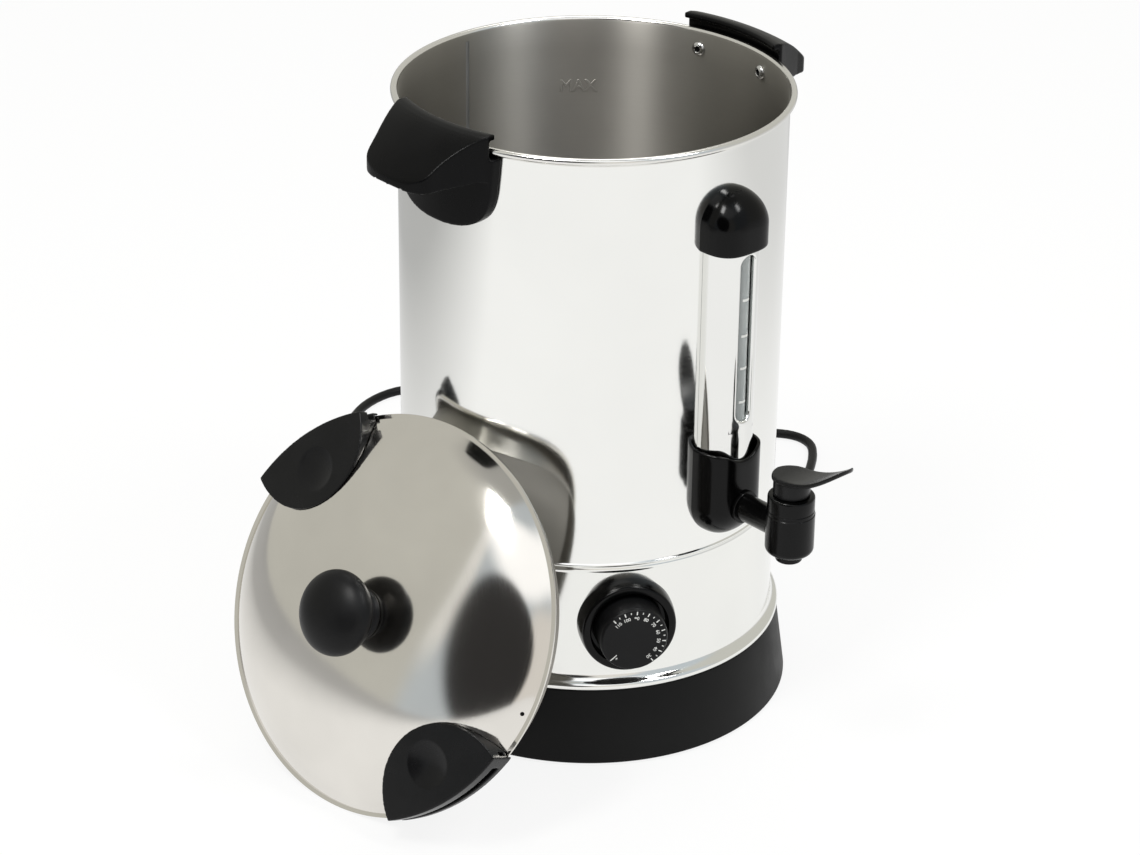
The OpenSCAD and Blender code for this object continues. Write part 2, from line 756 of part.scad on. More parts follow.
module internal_wires() {
    block_mid_z = plate_top_z + block_h / 2;
    front = block_y - block_d / 2 - wire_gap;
    rear = block_y + block_d / 2 + wire_gap;
    pitch = block_w / 3.2;
    leg_z = element_z - element_leg - pin_l - 1.7 * wire_gap;
    leg_a = polar(element_start + 90, element_ring_r, leg_z);
    leg_b = polar(element_start + element_deg + 90, element_ring_r, leg_z);
    tab_z = heater_bottom_z - cutout_flange_t - cutout_h - tab_l - wire_gap;
    side = polar(dial_az, thermostat_front - thermostat_d - wire_gap, dial_z - 10);
    inner = polar(dial_az, thermostat_front - thermostat_d - 12, dial_z - 12);
    lock_y = gland_r - foot_t - gland_play - gland_lock_t - wire_gap;
    feed_bend = [-0.42 * element_ring_r, 0.48 * element_ring_r, 0.27 * seam_z];
    cutout_bend = [0.23 * element_ring_r, 0.32 * element_ring_r, 0.31 * seam_z];
    link_bend = [-0.32 * element_ring_r, -0.32 * element_ring_r, 0.485 * seam_z];
    return_bend = [-0.48 * element_ring_r, -0.1 * element_ring_r, 0.55 * seam_z];
    feed = [
        [-pitch, front, block_mid_z], [-pitch, front - wire_slack, block_mid_z + 1], feed_bend,
        leg_a - [0, 0, wire_slack], leg_a
    ];
    to_cutout = [
        [pitch, front, block_mid_z], [pitch, front - wire_slack, block_mid_z + 1], cutout_bend,
        [0.75 * cutout_r, cutout_pos[1] - 0.5 * cutout_r, tab_z - wire_slack],
        [cutout_r / 2, cutout_pos[1], tab_z]
    ];
    from_cutout = [
        [-cutout_r / 2, cutout_pos[1], tab_z],
        [-0.75 * cutout_r, cutout_pos[1] - cutout_r, tab_z - wire_slack],
        link_bend, inner, side
    ];
    to_element = [leg_b, leg_b - [0, 0, wire_slack], return_bend, inner + wire_step, side + wire_step];
    sheath = [
        [0, lock_y, gland_z], [0, lock_y - 0.7 * wire_slack, gland_z],
        [0, rear + 0.7 * wire_slack, block_mid_z],
        [0, rear, block_mid_z]
    ];
    color("#40312a") {
        tube(smooth(sheath, 3), sheath_r, 8);
        tube(smooth(feed, 5), wire_tube_r, 6, [1, 0.2, 0.1]);
        tube(smooth(to_cutout, 5), wire_tube_r, 6, [1, 0.2, 0.1]);
        tube(smooth(from_cutout, 5), wire_tube_r, 6, [0.2, 0.3, 1]);
        tube(smooth(to_element, 5), wire_tube_r, 6, [1, 0.3, 0.2]);
    }
}

module earth_screw() {
    color("goldenrod") translate([earth_pos[0], earth_pos[1], plate_z]) {
        translate([0, 0, -2]) cylinder(r = 3.6, h = 2, $fn = 32);
        cylinder(r = 2, h = 12, $fn = 32);
        translate([0, 0, plate_t]) cylinder(r = 4, h = 3.2, $fn = 6);
    }
}

module dial_bezel() {
    outer = [
        [0, -10], [bezel_r, -10], [bezel_r, 2], [bezel_r - bezel_draft, bezel_h - 0.8],
        [bezel_r - bezel_draft - 0.8, bezel_h], [recess_r + 0.6, bezel_h], [recess_r, bezel_h - 0.6],
        [recess_r, bezel_floor_t], [0, bezel_floor_t]
    ];
    color("#141416") difference() {
        outward(dial_az, tank_r, dial_z) rotate_extrude() polygon(outer);
        wall_space(fit);
        outward(dial_az, tank_r - 20, dial_z) cylinder(r = bush_r + hole_gap, h = 60);
        for (x = [-1, 1]) outward(dial_az, tank_r - 20, dial_z)
            translate([x * thermostat_screw_x, 0, 0]) cylinder(r = thermostat_screw_r + hole_gap, h = 60);
    }
}

module dial_knob() {
    profile = [
        [shaft_r + fit, hub_low_h], [hub_r, hub_low_h], [hub_r, knob_face_h - knob_face_t],
        [knob_r - knob_wall, knob_face_h - knob_face_t], [knob_r - knob_wall, knob_back_h],
        [knob_r, knob_back_h],
        [knob_r - 0.5, knob_face_h - knob_edge], [knob_r - knob_edge, knob_face_h], [0, knob_face_h],
        [0, knob_face_h - knob_face_t + 1], [shaft_r + fit, knob_face_h - knob_face_t + 1]
    ];
    color("#26262a") outward(dial_az, tank_r, dial_z) rotate_extrude() polygon(profile);
}

module thermostat_shaft() {
    start = thermostat_front - shaft_in;
    color("silver") outward(dial_az, start, dial_z)
        cylinder(r = shaft_r, h = tank_r + knob_face_h - knob_face_t + 0.8 - start, $fn = 48);
}

module gauge_cover() {
    color("gainsboro") difference() {
        translate([0, -cover_axis_r, cover_low_z]) cylinder(r = cover_r, h = cover_top_z - cover_low_z);
        translate([0, -cover_axis_r, cover_low_z - 1])
            cylinder(r = cover_r - cover_t, h = cover_top_z - cover_low_z + 2);
        wall_space(seat);
        translate([0, 0, slot_top_z - slot_l + slot_w / 2]) {
            translate([-slot_w / 2, -tank_r - 40, 0]) cube([slot_w, 40, slot_l - slot_w]);
            for (z = [0, slot_l - slot_w]) translate([0, -tank_r, z]) rotate([90, 0, 0])
                cylinder(d = slot_w, h = 40, $fn = 48);
        }
    }
}

// Flat-fronted outline of a wall cover: half width at the wall, at the front, and depth
module cover_outline(half_w, depth) {
    right = concat(
        [[half_w, 8]],
        [for (i = [0:cover_steps]) [half_w * pow(cos(90 * i / cover_steps), 2 / cover_square),
            -depth * pow(sin(90 * i / cover_steps), 2 / cover_square)]]
    );
    polygon(concat(right, [for (i = [len(right) - 2:-1:0]) [-right[i][0], right[i][1]]]));
}

module cover_solid(half_w, depth, low_z, high_z, dome_h, up) {
    hull() {
        translate([0, -tank_r, low_z]) linear_extrude(high_z - low_z) cover_outline(half_w, depth);
        for (i = [1:dome_steps]) {
            a = 86 * i / dome_steps;
            z = up ? high_z + dome_h * sin(a) : low_z - dome_h * sin(a);
            translate([0, -tank_r, z]) linear_extrude(0.01)
                cover_outline(half_w * cos(a), depth * cos(a));
        }
    }
}

module gauge_top_cap() {
    color("#101012") difference() {
        union() {
            difference() {
                cover_solid(cap_half_w, cap_out, cap_low_z, cap_low_z + cap_straight_h, cap_half_w, true);
                cover_solid(cap_half_w - cap_t, cap_out - cap_t, cap_low_z - 1, cap_low_z + cap_straight_h,
                    cap_half_w - cap_t, true);
            }
            intersection() {
                outward(0, tank_r - 1, cap_screw_z) cylinder(r = cap_boss_r, h = cap_out + 2, $fn = 32);
                cover_solid(cap_half_w, cap_out - cap_t / 2, cap_low_z, cap_low_z + cap_straight_h,
                    cap_half_w, true);
            }
        }
        wall_space(seat);
        gauge_space(seat);
        outward(0, tank_r - 2, cap_screw_z) cylinder(r = cap_screw_r + fit, h = cap_screw_l + 3, $fn = 32);
    }
}

module gauge_cap_screw() {
    color("silver") outward(0, tank_in_r - cap_screw_head_t, cap_screw_z) {
        cylinder(r = cap_screw_head_r, h = cap_screw_head_t - seat, $fn = 32);
        cylinder(r = cap_screw_r, h = cap_screw_head_t + sheet_t + cap_screw_l, $fn = 32);
    }
}

module gauge_tube() {
    color("lightblue", 0.5) translate([0, -glass_axis_r, glass_low_z]) difference() {
        cylinder(r = glass_r, h = glass_top_z - glass_low_z, $fn = 48);
        translate([0, 0, -1]) cylinder(r = glass_r - glass_t, h = glass_top_z - glass_low_z + 2, $fn = 48);
    }
}

module gauge_seals() {
    color("#e8e4da") for (z = [tap_z + tee_socket_h, glass_top_z - 5])
        translate([0, -glass_axis_r, z]) difference() {
        cylinder(r = glass_r + fit + seal_t, h = seal_h, $fn = 48);
        translate([0, 0, -1]) cylinder(r = glass_r + fit, h = seal_h + 2, $fn = 48);
    }
}

module gauge_tee() {
    color("#202022") difference() {
        union() {
            outward(0, tank_r + tee_in, tap_z) cylinder(r = tee_r, h = tee_out - tee_in);
            translate([0, -glass_axis_r, tap_z]) cylinder(r = tee_socket_r, h = tee_socket_h, $fn = 48);
        }
        outward(0, tank_r - 20, tap_z) cylinder(r = shank_r + fit, h = 60);
        translate([0, -glass_axis_r, glass_low_z - fit]) cylinder(r = glass_r + fit, h = 60, $fn = 48);
        outward(0, tank_r - 5, tap_z) cylinder(r = outer_gasket_r + hole_gap, h = 5 + tee_in);
        translate([0, -glass_axis_r, tap_z]) cylinder(r = tee_port_r, h = 60, $fn = 32);
    }
}

module tap_housing() {
    color("#1b1b1d") difference() {
        cover_solid(housing_half_w, housing_out, housing_low_z + housing_dome_h, housing_top_z,
            housing_dome_h, false);
        cover_solid(housing_half_w - housing_t, housing_out - housing_t, housing_low_z + housing_dome_h,
            housing_top_z + 1, housing_dome_h - housing_t, false);
        wall_space(seat);
        gauge_space(seat);
        outward(0, tank_r, tap_z) cylinder(r = shank_r + hole_gap, h = 60);
        outward(0, tank_r + housing_out / 2, housing_top_z - scallop_h + scallop_r)
            cylinder(r = scallop_r, h = 60);
    }
}

module tap_body() {
    outer = concat(
        [[0, tap_low_z]],
        arc([tap_r - tap_round, tap_low_z + tap_round], tap_round, -80, 0, 6),
        [[tap_r - 0.4, tap_top_z], [0, tap_top_z]]
    );
    end_r = tank_in_r - shank_in;
    color("#1e1e20") difference() {
        union() {
            translate([0, -tap_y, 0]) rotate_extrude() polygon(outer);
            outward(0, end_r, tap_z) cylinder(r = shank_r, h = tap_y - end_r, $fn = 64);
            outward(0, tank_r + housing_out + seat, tap_z)
                cylinder(r = shoulder_r, h = shoulder_t, $fn = 64);
        }
        translate([0, -tap_y, tap_seat_z]) cylinder(r = chamber_r, h = 60);
        translate([0, -tap_y, tap_low_z - 1]) cylinder(r = nozzle_r + fit, h = 60);
        outward(0, end_r - 1, tap_z) cylinder(r = shank_bore_r, h = tap_y - end_r, $fn = 64);
        translate([0, -glass_axis_r, tap_z]) cylinder(r = tee_port_r, h = shank_r + 1, $fn = 32);
    }
}

module tap_spout() {
    nozzle_z = tap_low_z - nozzle_l;
    profile = [
        [shank_bore_r, nozzle_z], [nozzle_r - 0.8, nozzle_z], [nozzle_r, nozzle_z + 0.8],
        [nozzle_r, tap_seat_z],
        [shank_bore_r, tap_seat_z]
    ];
    color("#1e1e20") translate([0, -tap_y, 0]) rotate_extrude() polygon(profile);
}

module tap_nut() {
    color("#303032") outward(0, nut_face - nut_t, tap_z) difference() {
        cylinder(r = nut_r, h = nut_t, $fn = 6);
        translate([0, 0, -1]) cylinder(r = shank_r + fit, h = nut_t + 2, $fn = 64);
    }
}

module tap_gaskets() {
    color("#e4ded2") {
        difference() {
            intersection() {
                outward(0, nut_face + fit, tap_z) cylinder(r = gasket_r, h = 20, $fn = 64);
                cylinder(r = tank_in_r - fit, h = through, $fn = 180);
            }
            outward(0, tank_r - 30, tap_z) cylinder(r = shank_r + fit, h = 60, $fn = 64);
        }
        difference() {
            outward(0, tank_r - 5, tap_z) cylinder(r = outer_gasket_r, h = 5 + tee_in - fit, $fn = 64);
            wall_space(fit);
            outward(0, tank_r - 30, tap_z) cylinder(r = shank_r + fit, h = 60, $fn = 64);
        }
    }
}

module tap_bonnet() {
    profile = concat(
        [[stem_r + run, bonnet_top_z - bonnet_top_t],
        [chamber_r - spigot_wall - fit, bonnet_top_z - bonnet_top_t],
        [chamber_r - spigot_wall - fit, bonnet_z - bonnet_spigot_h],
        [chamber_r - fit, bonnet_z - bonnet_spigot_h],
        [chamber_r - fit, bonnet_z], [bonnet_r, bonnet_z]],
        arc([bonnet_r - bonnet_round, bonnet_top_z - bonnet_round], bonnet_round, 0, 90, 6),
        [[stem_r + run, bonnet_top_z]]
    );
    color("#232325") translate([0, -tap_y, 0]) rotate_extrude() polygon(profile);
}

module tap_stem() {
    color("silver") difference() {
        translate([0, -tap_y, stem_low_z]) cylinder(r = stem_r, h = stem_top_z - stem_low_z, $fn = 48);
        translate([-10, -tap_y, pin_z]) rotate([0, 90, 0])
            cylinder(r = lever_pin_r + run, h = 20, $fn = 32);
    }
}

module tap_seat_cup() {
    profile = [
        [0, tap_seat_z + cup_seat], [cup_r, tap_seat_z + cup_seat], [cup_r, tap_seat_z + 3],
        [cup_r - 2.5, cup_top_z],
        [stem_r + fit, cup_top_z], [stem_r + fit, stem_low_z - fit], [0, stem_low_z - fit]
    ];
    color("#ece6da") translate([0, -tap_y, 0]) rotate_extrude($fn = 64) polygon(profile);
}

module tap_spring() {
    steps = spring_turns * 10;
    helix = [
        for (i = [0:steps]) [
            spring_r * cos(360 * i / 10), -tap_y + spring_r * sin(360 * i / 10),
            spring_low_z + (spring_high_z - spring_low_z) * i / steps
        ]
    ];
    color("silver") tube(helix, spring_wire_r, 6);
}

// Height of the underside of the lever at a distance from the axis of the tap
function lever_curve(s) = lever_z - lever_t + lever_rise * pow(max(0, s + 4) / (lever_l + 4), 2);
// Half width of the lever at a distance from the axis of the tap
function lever_width(s) = s < 0
    ? sqrt(max(0, lever_disc_r * lever_disc_r - s * s))
    : s < lever_l - 16
        ? lever_disc_r + (lever_half_w - lever_disc_r) * s / (lever_l - 16)
        : lever_half_w * sqrt(max(0, 1 - pow((s - lever_l + 16) / 16, 2)));

module tap_lever() {
    stations = [for (i = [0:18]) -lever_disc_r * cos(90 * i / 18),
        for (i = [1:24]) lever_l * sin(90 * i / 24)];
    side = concat(
        [for (s = stations) [s, lever_curve(s)]],
        [for (i = [len(stations) - 1:-1:0]) [stations[i], lever_curve(stations[i]) + lever_t]]
    );
    plan = concat(
        [for (s = stations) [lever_width(s), -s]],
        [for (i = [len(stations) - 1:-1:0]) [-lever_width(stations[i]), -stations[i]]]
    );
    color("#2b2b2d") translate([0, -tap_y, 0]) difference() {
        union() {
            translate([0, 0, neck_z]) cylinder(r = neck_r, h = lever_z - lever_t - neck_z + 1);
            intersection() {
                rotate([90, 0, -90]) translate([0, 0, -lever_half_w - 1])
                    linear_extrude(2 * lever_half_w + 2) polygon(side);
                translate([0, 0, neck_z]) linear_extrude(60) polygon(plan);
            }
        }
        translate([-stem_r - lever_gap, -lever_slot_half_l, neck_z - 1])
            cube([2 * (stem_r + lever_gap), 2 * lever_slot_half_l, stem_top_z - neck_z + 2.5]);
        translate([-20, 0, pin_z]) rotate([0, 90, 0]) cylinder(r = lever_pin_r + fit, h = 40, $fn = 32);
    }
}

module lever_pin() {
    color("silver") translate([-lever_pin_half_l, -tap_y, pin_z]) rotate([0, 90, 0])
        cylinder(r = lever_pin_r, h = 2 * lever_pin_half_l, $fn = 32);
}

function handle_azimuths() = [-90, 90];

// Half width of the grip at a distance from the axis of the tank
function grip_width(r) = let (
        corner_r = riser_in_r * cos(grip_half_deg),
        corner_w = riser_in_r * sin(grip_half_deg) + 1,
        bend_r = grip_tip_r - grip_round,
        bend_w = corner_w + (grip_tip_half_w - corner_w) * (bend_r - corner_r) / (bend_r + 7 - corner_r)
    )
    r < corner_r ? corner_w * r / corner_r
    : r < bend_r ? corner_w + (bend_w - corner_w) * (r - corner_r) / (bend_r - corner_r)
    : bend_w * pow(max(0, 1 - pow((r - bend_r) / grip_round, 2.4)), 1 / 2.4);

// Half width of the mounting plate at a height
function saddle_width(z) = let (u = (saddle_top_z - z) / (saddle_top_z - saddle_low_z))
    saddle_half_w * (1 - 0.1 * u) * pow(max(0, 1 - pow(u, 6)), 1 / 2.4);

// Height of the top of the grip at a distance from the axis of the tank
function grip_top(r) =
    crown_z - grip_fall * pow(max(0, r - riser_in_r) / (grip_tip_r - riser_in_r), grip_bend);

// Height of the underside of the grip there
function grip_under(r) = let (rise = grip_top(r) - grip_top(r + 0.5))
    grip_top(r) - grip_t * sqrt(1 + 4 * rise * rise);

module handle(az) {
    reach = [for (i = [0:12]) riser_out_r + (grip_tip_r + 1 - riser_out_r) * i / 12];
    under = [for (r = reach) [r, grip_under(r)]];
    over = [for (i = [12:-1:0]) [reach[i], grip_top(reach[i])]];
    grip_profile = concat(
        [[lip_in_r, lip_low_z], [riser_in_r, lip_low_z], [riser_in_r, riser_low], [riser_out_r, riser_low]],
        under,
        over,
        [[riser_in_r, crown_z], [lip_in_r + 1, crown_z], [lip_in_r, crown_z - 1]]
    );
    cheek_profile = concat(
        [[riser_out_r - 1, riser_low]],
        [for (i = [12:-1:0]) [reach[i], grip_under(reach[i]) + 0.8]],
        [[riser_out_r - 1, grip_under(riser_out_r) + 0.8]]
    );
    stations = [for (i = [0:6]) lip_in_r - 6 + i * 6, for (i = [1:16]) lip_in_r + 30
        + (grip_tip_r - lip_in_r - 30) * sin(90 * i / 16)];
    plan = concat(
        [for (r = stations) [grip_width(r), -r]],
        [for (i = [len(stations) - 1:-1:0]) [-grip_width(stations[i]), -stations[i]]]
    );
    side = [for (r = stations) if (grip_width(r) > cheek_in) r];
    inner = concat(
        [for (r = side) [grip_width(r) - cheek_t, -r]],
        [for (i = [len(side) - 1:-1:0]) [cheek_t - grip_width(side[i]), -side[i]]]
    );
    heights = [for (i = [0:16]) saddle_low_z + (saddle_top_z - saddle_low_z) * (1 - cos(90 * i / 16))];
    shield = concat(
        [for (z = heights) [saddle_width(z), z]],
        [for (i = [len(heights) - 1:-1:0]) [-saddle_width(heights[i]), heights[i]]]
    );
    rotate([0, 0, az]) difference() {
        union() {
            intersection() {
                rotate_extrude($fn = 180) polygon(grip_profile);
                linear_extrude(crown_z + 10) polygon(plan);
            }
            intersection() {
                rotate_extrude($fn = 180) polygon(cheek_profile);
                linear_extrude(crown_z + 10) difference() {
                    polygon(plan);
                    polygon(inner);
                    translate([-cheek_in, -grip_tip_r - 5]) square([2 * cheek_in, grip_tip_r]);
                }
            }
            difference() {
                intersection() {
                    rotate([90, 0, 0]) linear_extrude(tank_r + saddle_t + 10) polygon(shield);
                    cylinder(r = tank_r + saddle_t, h = rim_z, $fn = 180);
                }
                wall_space(seat);
            }
        }
        for (way = [-1, 1]) outward(way * handle_screw_deg, tank_r - 10, handle_screw_z)
            cylinder(r = handle_screw_r + seat, h = 10 + handle_screw_reach + seat, $fn = 32);
    }
}

module handle_left() {
    color("#242426") handle(handle_azimuths()[0]);
}

module handle_right() {
    color("#242426") handle(handle_azimuths()[1]);
}

module handle_screws() {
    color("silver") for (az = handle_azimuths(), side = [-1, 1])
        outward(az + side * handle_screw_deg, tank_in_r - handle_screw_head_t, handle_screw_z) {
            cylinder(r = handle_screw_head_r, h = handle_screw_head_t - seat - fit, $fn = 32);
            translate([0, 0, 1])
                cylinder(r = handle_screw_r, h = handle_screw_reach + sheet_t + handle_screw_head_t - 1,
                    $fn = 32);
        }
}

// Puts its child in the frame of the lid: Z along the lid's axis, the rim in the plane of X and Y
module lid_frame() {
    translate([lid_far * sin(lid_place_az), -lid_far * cos(lid_place_az), lid_z])
        rotate([0, 0, lid_az]) rotate([90 - lid_lean, 0, 0]) children();
}

// Height of the top of the dome at a distance from its axis
function dome_z(r) = let (u = min(1, r / dome_r))
    0.5 + (dome_rise - 0.5) * (1 - dome_flat * u * u - (1 - dome_flat) * pow(u, dome_turn));

module lid_shell() {
    steps = [for (i = [0:dome_steps_n]) dome_r * i / dome_steps_n];
    profile = concat(
        [for (r = steps) [r, dome_z(r)]],
        [[lid_wire_ring_r, 0.5], [lid_wire_ring_r, -0.5], [dome_r, -0.5]],
        [for (i = [dome_steps_n - 1:-1:0]) [steps[i], dome_z(steps[i]) - sheet_t]]
    );
    color("gainsboro") lid_frame() difference() {
        union() {
            rotate_extrude($fn = 180) polygon(profile);
            rotate_extrude($fn = 180) translate([lid_wire_ring_r, 0]) circle(lid_wire_r, $fn = 24);
        }
        translate([0, 0, -through / 2]) cylinder(r = knob_screw_r + hole_gap, h = through, $fn = 32);
        for (turn = [0, 180], side = [-1, 1]) rotate([0, 0, lug_turn + turn + side * lug_rivet_half_deg])
            translate([lug_rivet_ring_r, 0, -through / 2])
                cylinder(r = lug_rivet_r + seat, h = through, $fn = 32);
        rotate([0, 0, vent_deg]) translate([vent_mid_r, 0, -through / 2])
            cylinder(r = vent_r, h = through, $fn = 32);
    }
}

module lid_ring() {
    top_z = dome_z(lid_ring_r) - sheet_t - 2 * seat;
    color("darkgray") lid_frame() translate([0, 0, -lid_ring_h]) difference() {
        cylinder(r = lid_ring_r, h = lid_ring_h + top_z, $fn = 180);
        translate([0, 0, -1]) cylinder(r = lid_ring_r - sheet_t, h = lid_ring_h + top_z + 2, $fn = 180);
    }
}

function lug_top(r) = lug_h + lug_slope * (lug_out_r - r);

module lug(turn) {
    fold_r = lid_wire_ring_r - lid_wire_r - 0.5;
    wall_r = lid_r + hole_gap;
    steps = [for (i = [0:20]) lug_mid_r - lug_r + (fold_r - lug_mid_r + lug_r) * i / 20];
    under = [for (i = [20:-1:0]) [steps[i], dome_z(steps[i]) + hole_gap]];
    profile = concat(
        [[steps[0], lug_top(steps[0])], [lug_out_r, lug_top(lug_out_r)],
        [lug_out_r, tongue_top + lug_groove_h],
        [lug_groove_r, tongue_top + lug_groove_h], [lug_groove_r, tongue_top], [lug_out_r, tongue_top],
        [lug_out_r, tongue_low], [wall_r, tongue_low], [wall_r, lid_wire_r + seat],
        [fold_r, lid_wire_r + seat]],
        under
    );
    scoop_mid_r = lug_mid_r - lug_r + 26;
    lid_frame() rotate([0, 0, turn]) difference() {
        intersection() {
            union() {
                rotate_extrude($fn = 180) polygon(profile);
                intersection() {
                    translate([0, 0, tongue_top - 0.5])
                        cylinder(r = lug_out_r, h = lug_groove_h + 1, $fn = 180);
                    translate([lug_groove_r - 5, lug_stop_l, tongue_top - 0.5])
                        cube([lug_r, lug_r, lug_groove_h + 1]);
                }
            }
            translate([lug_mid_r, 0, -5]) cylinder(r = lug_r, h = 60);
        }
        translate([scoop_mid_r, 0, lug_top(scoop_mid_r) + scoop_r - scoop_depth]) sphere(scoop_r);
        for (side = [-1, 1]) rotate([0, 0, side * lug_rivet_half_deg]) translate([lug_rivet_ring_r, 0, -20])
            cylinder(r = lug_rivet_r + fit, h = 19 + dome_z(lug_rivet_ring_r) + lug_rivet_l - 0.5,
                $fn = 32);
    }
}

module lid_lug_a() {
    color("#2a2a2c") lug(lug_turn);
}

module lid_lug_b() {
    color("#2a2a2c") lug(lug_turn + 180);
}

module lug_rivets() {
    head_z = dome_z(lug_rivet_ring_r) - sheet_t - lug_rivet_drop;
    color("silver") lid_frame() for (turn = [0, 180], side = [-1, 1])
        rotate([0, 0, lug_turn + turn + side * lug_rivet_half_deg])
            translate([lug_rivet_ring_r, 0, head_z]) {
            translate([0, 0, -lug_rivet_head_t])
                cylinder(r = lug_rivet_head_r, h = lug_rivet_head_t, $fn = 32);
            cylinder(r = lug_rivet_r, h = lug_rivet_l, $fn = 32);
        }
}

module lid_knob() {
    foot_z = dome_rise + seat;
    ball_z = foot_z + lid_knob_h - lid_ball_half_h;
    shoulder_z = foot_z + lid_knob_foot_h;
    waist_z = ball_z - 0.9 * lid_ball_half_h;
    profile = concat(
        [[0, foot_z], [lid_knob_foot_r - 0.8, foot_z], [lid_knob_foot_r, foot_z + 0.8],
        [lid_knob_foot_r, shoulder_z - 1], [lid_knob_waist_r + 1.2, shoulder_z + 0.6],
        [lid_knob_waist_r, shoulder_z + 2.4], [lid_knob_waist_r, waist_z]],
        [for (i = [0:12]) [lid_knob_r * cos(-60 + 12.5 * i),
            ball_z + lid_ball_half_h * sin(-60 + 12.5 * i)]]
    );
    color("#1d1d1f") lid_frame() difference() {
        rotate_extrude() polygon(profile);
        translate([0, 0, foot_z - 1]) cylinder(r = knob_screw_r + fit, h = knob_screw_l, $fn = 32);
    }
}

module lid_knob_screw() {
    under = dome_rise - sheet_t - 0.05;
    color("silver") lid_frame() {
        translate([0, 0, under - knob_washer_t])
            cylinder(r = knob_washer_r, h = knob_washer_t - seat, $fn = 48);
        translate([0, 0, under - knob_washer_t - knob_screw_head_t])
            cylinder(r = knob_screw_head_r, h = knob_screw_head_t + 0.5, $fn = 32);
        translate([0, 0, under - knob_washer_t]) cylinder(r = knob_screw_r, h = knob_screw_l - 2, $fn = 32);
    }
}

module cord_gland() {
    rib = relief_l / (2 * relief_ribs + 1);
    taper = (relief_root_r - relief_tip_r) / relief_l;
    ribs = [
        for (i = [0:relief_ribs - 1]) each [
            [relief_root_r - taper * 2 * i * rib, gland_flange_t + 2 * i * rib],
            [relief_root_r - taper * (2 * i + 1) * rib, gland_flange_t + (2 * i + 1) * rib],
            [relief_root_r - taper * (2 * i + 1) * rib - 0.8, gland_flange_t + (2 * i + 1) * rib],
            [relief_root_r - taper * (2 * i + 2) * rib - 0.8, gland_flange_t + (2 * i + 2) * rib]
        ]
    ];
    profile = concat(
        [[0, -foot_t - gland_play - gland_lock_t], [gland_lock_r - 1, -foot_t - gland_play - gland_lock_t],
        [gland_lock_r, -foot_t - gland_play], [gland_neck_r, -foot_t - gland_play], [gland_neck_r, 1.4],
        [gland_flange_r, 1.4],
        [gland_flange_r - 0.6, gland_flange_t]],
        ribs,
        [[relief_tip_r, gland_flange_t + relief_l - rib], [relief_tip_r, gland_flange_t + relief_l],
        [0, gland_flange_t + relief_l]]
    );
    color("#202022") outward(180, gland_r, gland_z) rotate_extrude($fn = 48) polygon(profile);
}

// Point of the coil after a number of turns: in, up a layer where it turns back, and out
function coil_radius(u) = u < coil_turns_in
    ? coil_r - coil_step * u
    : coil_r - coil_step * (2 * coil_turns_in - u);
function coil_lift(u) = let (t = min(1, max(0,
    (u - coil_turns_in + 0.25) / 0.5))) coil_layer_h * t * t * (3 - 2 * t);
function coil_point(u) = let (a = coil_start_deg + 360 * u)
    [coil_centre[0] + coil_radius(u) * cos(a), coil_centre[1] + coil_radius(u) * sin(a),
        cord_r + 0.05 + coil_lift(u)];
coil_in_dir = unit(coil_point(0.004) - coil_point(0));
coil_out_dir = unit(coil_point(coil_turns) - coil_point(coil_turns - 0.004));
coil_loops = [for (i = [0:coil_turns * coil_rings]) coil_point(i / coil_rings)];
coil_route = concat(
    [coil_point(0) - cord_d * coil_in_dir], coil_loops, [coil_point(coil_turns) + cord_d * coil_out_dir]
);
coil_self_gap = min([
    for (i = [0:len(coil_loops) - 1]) for (j = [i + coil_rings / 2:1:len(coil_loops) - 1])
        norm(coil_loops[i] - coil_loops[j])
]) - cord_d;
echo(coil_self_gap = coil_self_gap);

lead_start = [0, relief_end + coil_joint, gland_z];
lead_end = coil_route[0] - coil_joint * coil_in_dir;
lead_route = concat(
    [lead_start, lead_start + [0, 8, -0.2]],
    smooth(concat([lead_start + [0, 16, -0.7]], lead_points, [lead_end - 8 * coil_in_dir]), 2),
    [lead_end]
);
tail_start = coil_route[len(coil_route) - 1] + coil_joint * coil_out_dir;
tail_route = [for (i = [0:4]) tail_start + coil_out_dir * tail_l * i / 4];
plug_start = tail_start + (tail_l + coil_joint) * coil_out_dir;
plug_turn = atan2(coil_out_dir[1], coil_out_dir[0]);
echo(lead_length = route_length(lead_route), coil_length = route_length(coil_route), tail_length = tail_l);

module cord_lead() {
    color("#18181a") tube(lead_route, cord_r, cord_sides);
}

module cord_coil() {
    color("#18181a") tube(coil_route, cord_r, coil_sides);
}

module cord_tail() {
    color("#18181a") tube(tail_route, cord_r, cord_sides);
}

// Puts its child at the plug: X runs from the cord into the plug, the table is at zero
module plug_frame() {
    translate([plug_start[0], plug_start[1], 0]) rotate([0, 0, plug_turn]) children();
}

module mains_plug() {
    body_x = plug_relief_l + plug_r - 2;
    profile = [
        [0, 0.2], [plug_r - 3, 0.2], [plug_r - 1, 2], [plug_r, 8], [plug_r, plug_h - 1],
        [plug_r - 1, plug_h], [0, plug_h]
    ];
    color("#1a1a1c") plug_frame() difference() {
        union() {
            translate([body_x, 0, 0]) rotate_extrude($fn = 64) polygon(profile);
            translate([0, 0, plug_z]) rotate([0, 90, 0])
                cylinder(r1 = relief_tip_r, r2 = relief_root_r + 1, h = body_x - 6, $fn = 48);
        }
        for (y = [-1, 1]) translate([body_x, y * plug_pin_half_gap, plug_h - 6])
            cylinder(r = plug_pin_r + fit, h = 10, $fn = 32);
    }
}

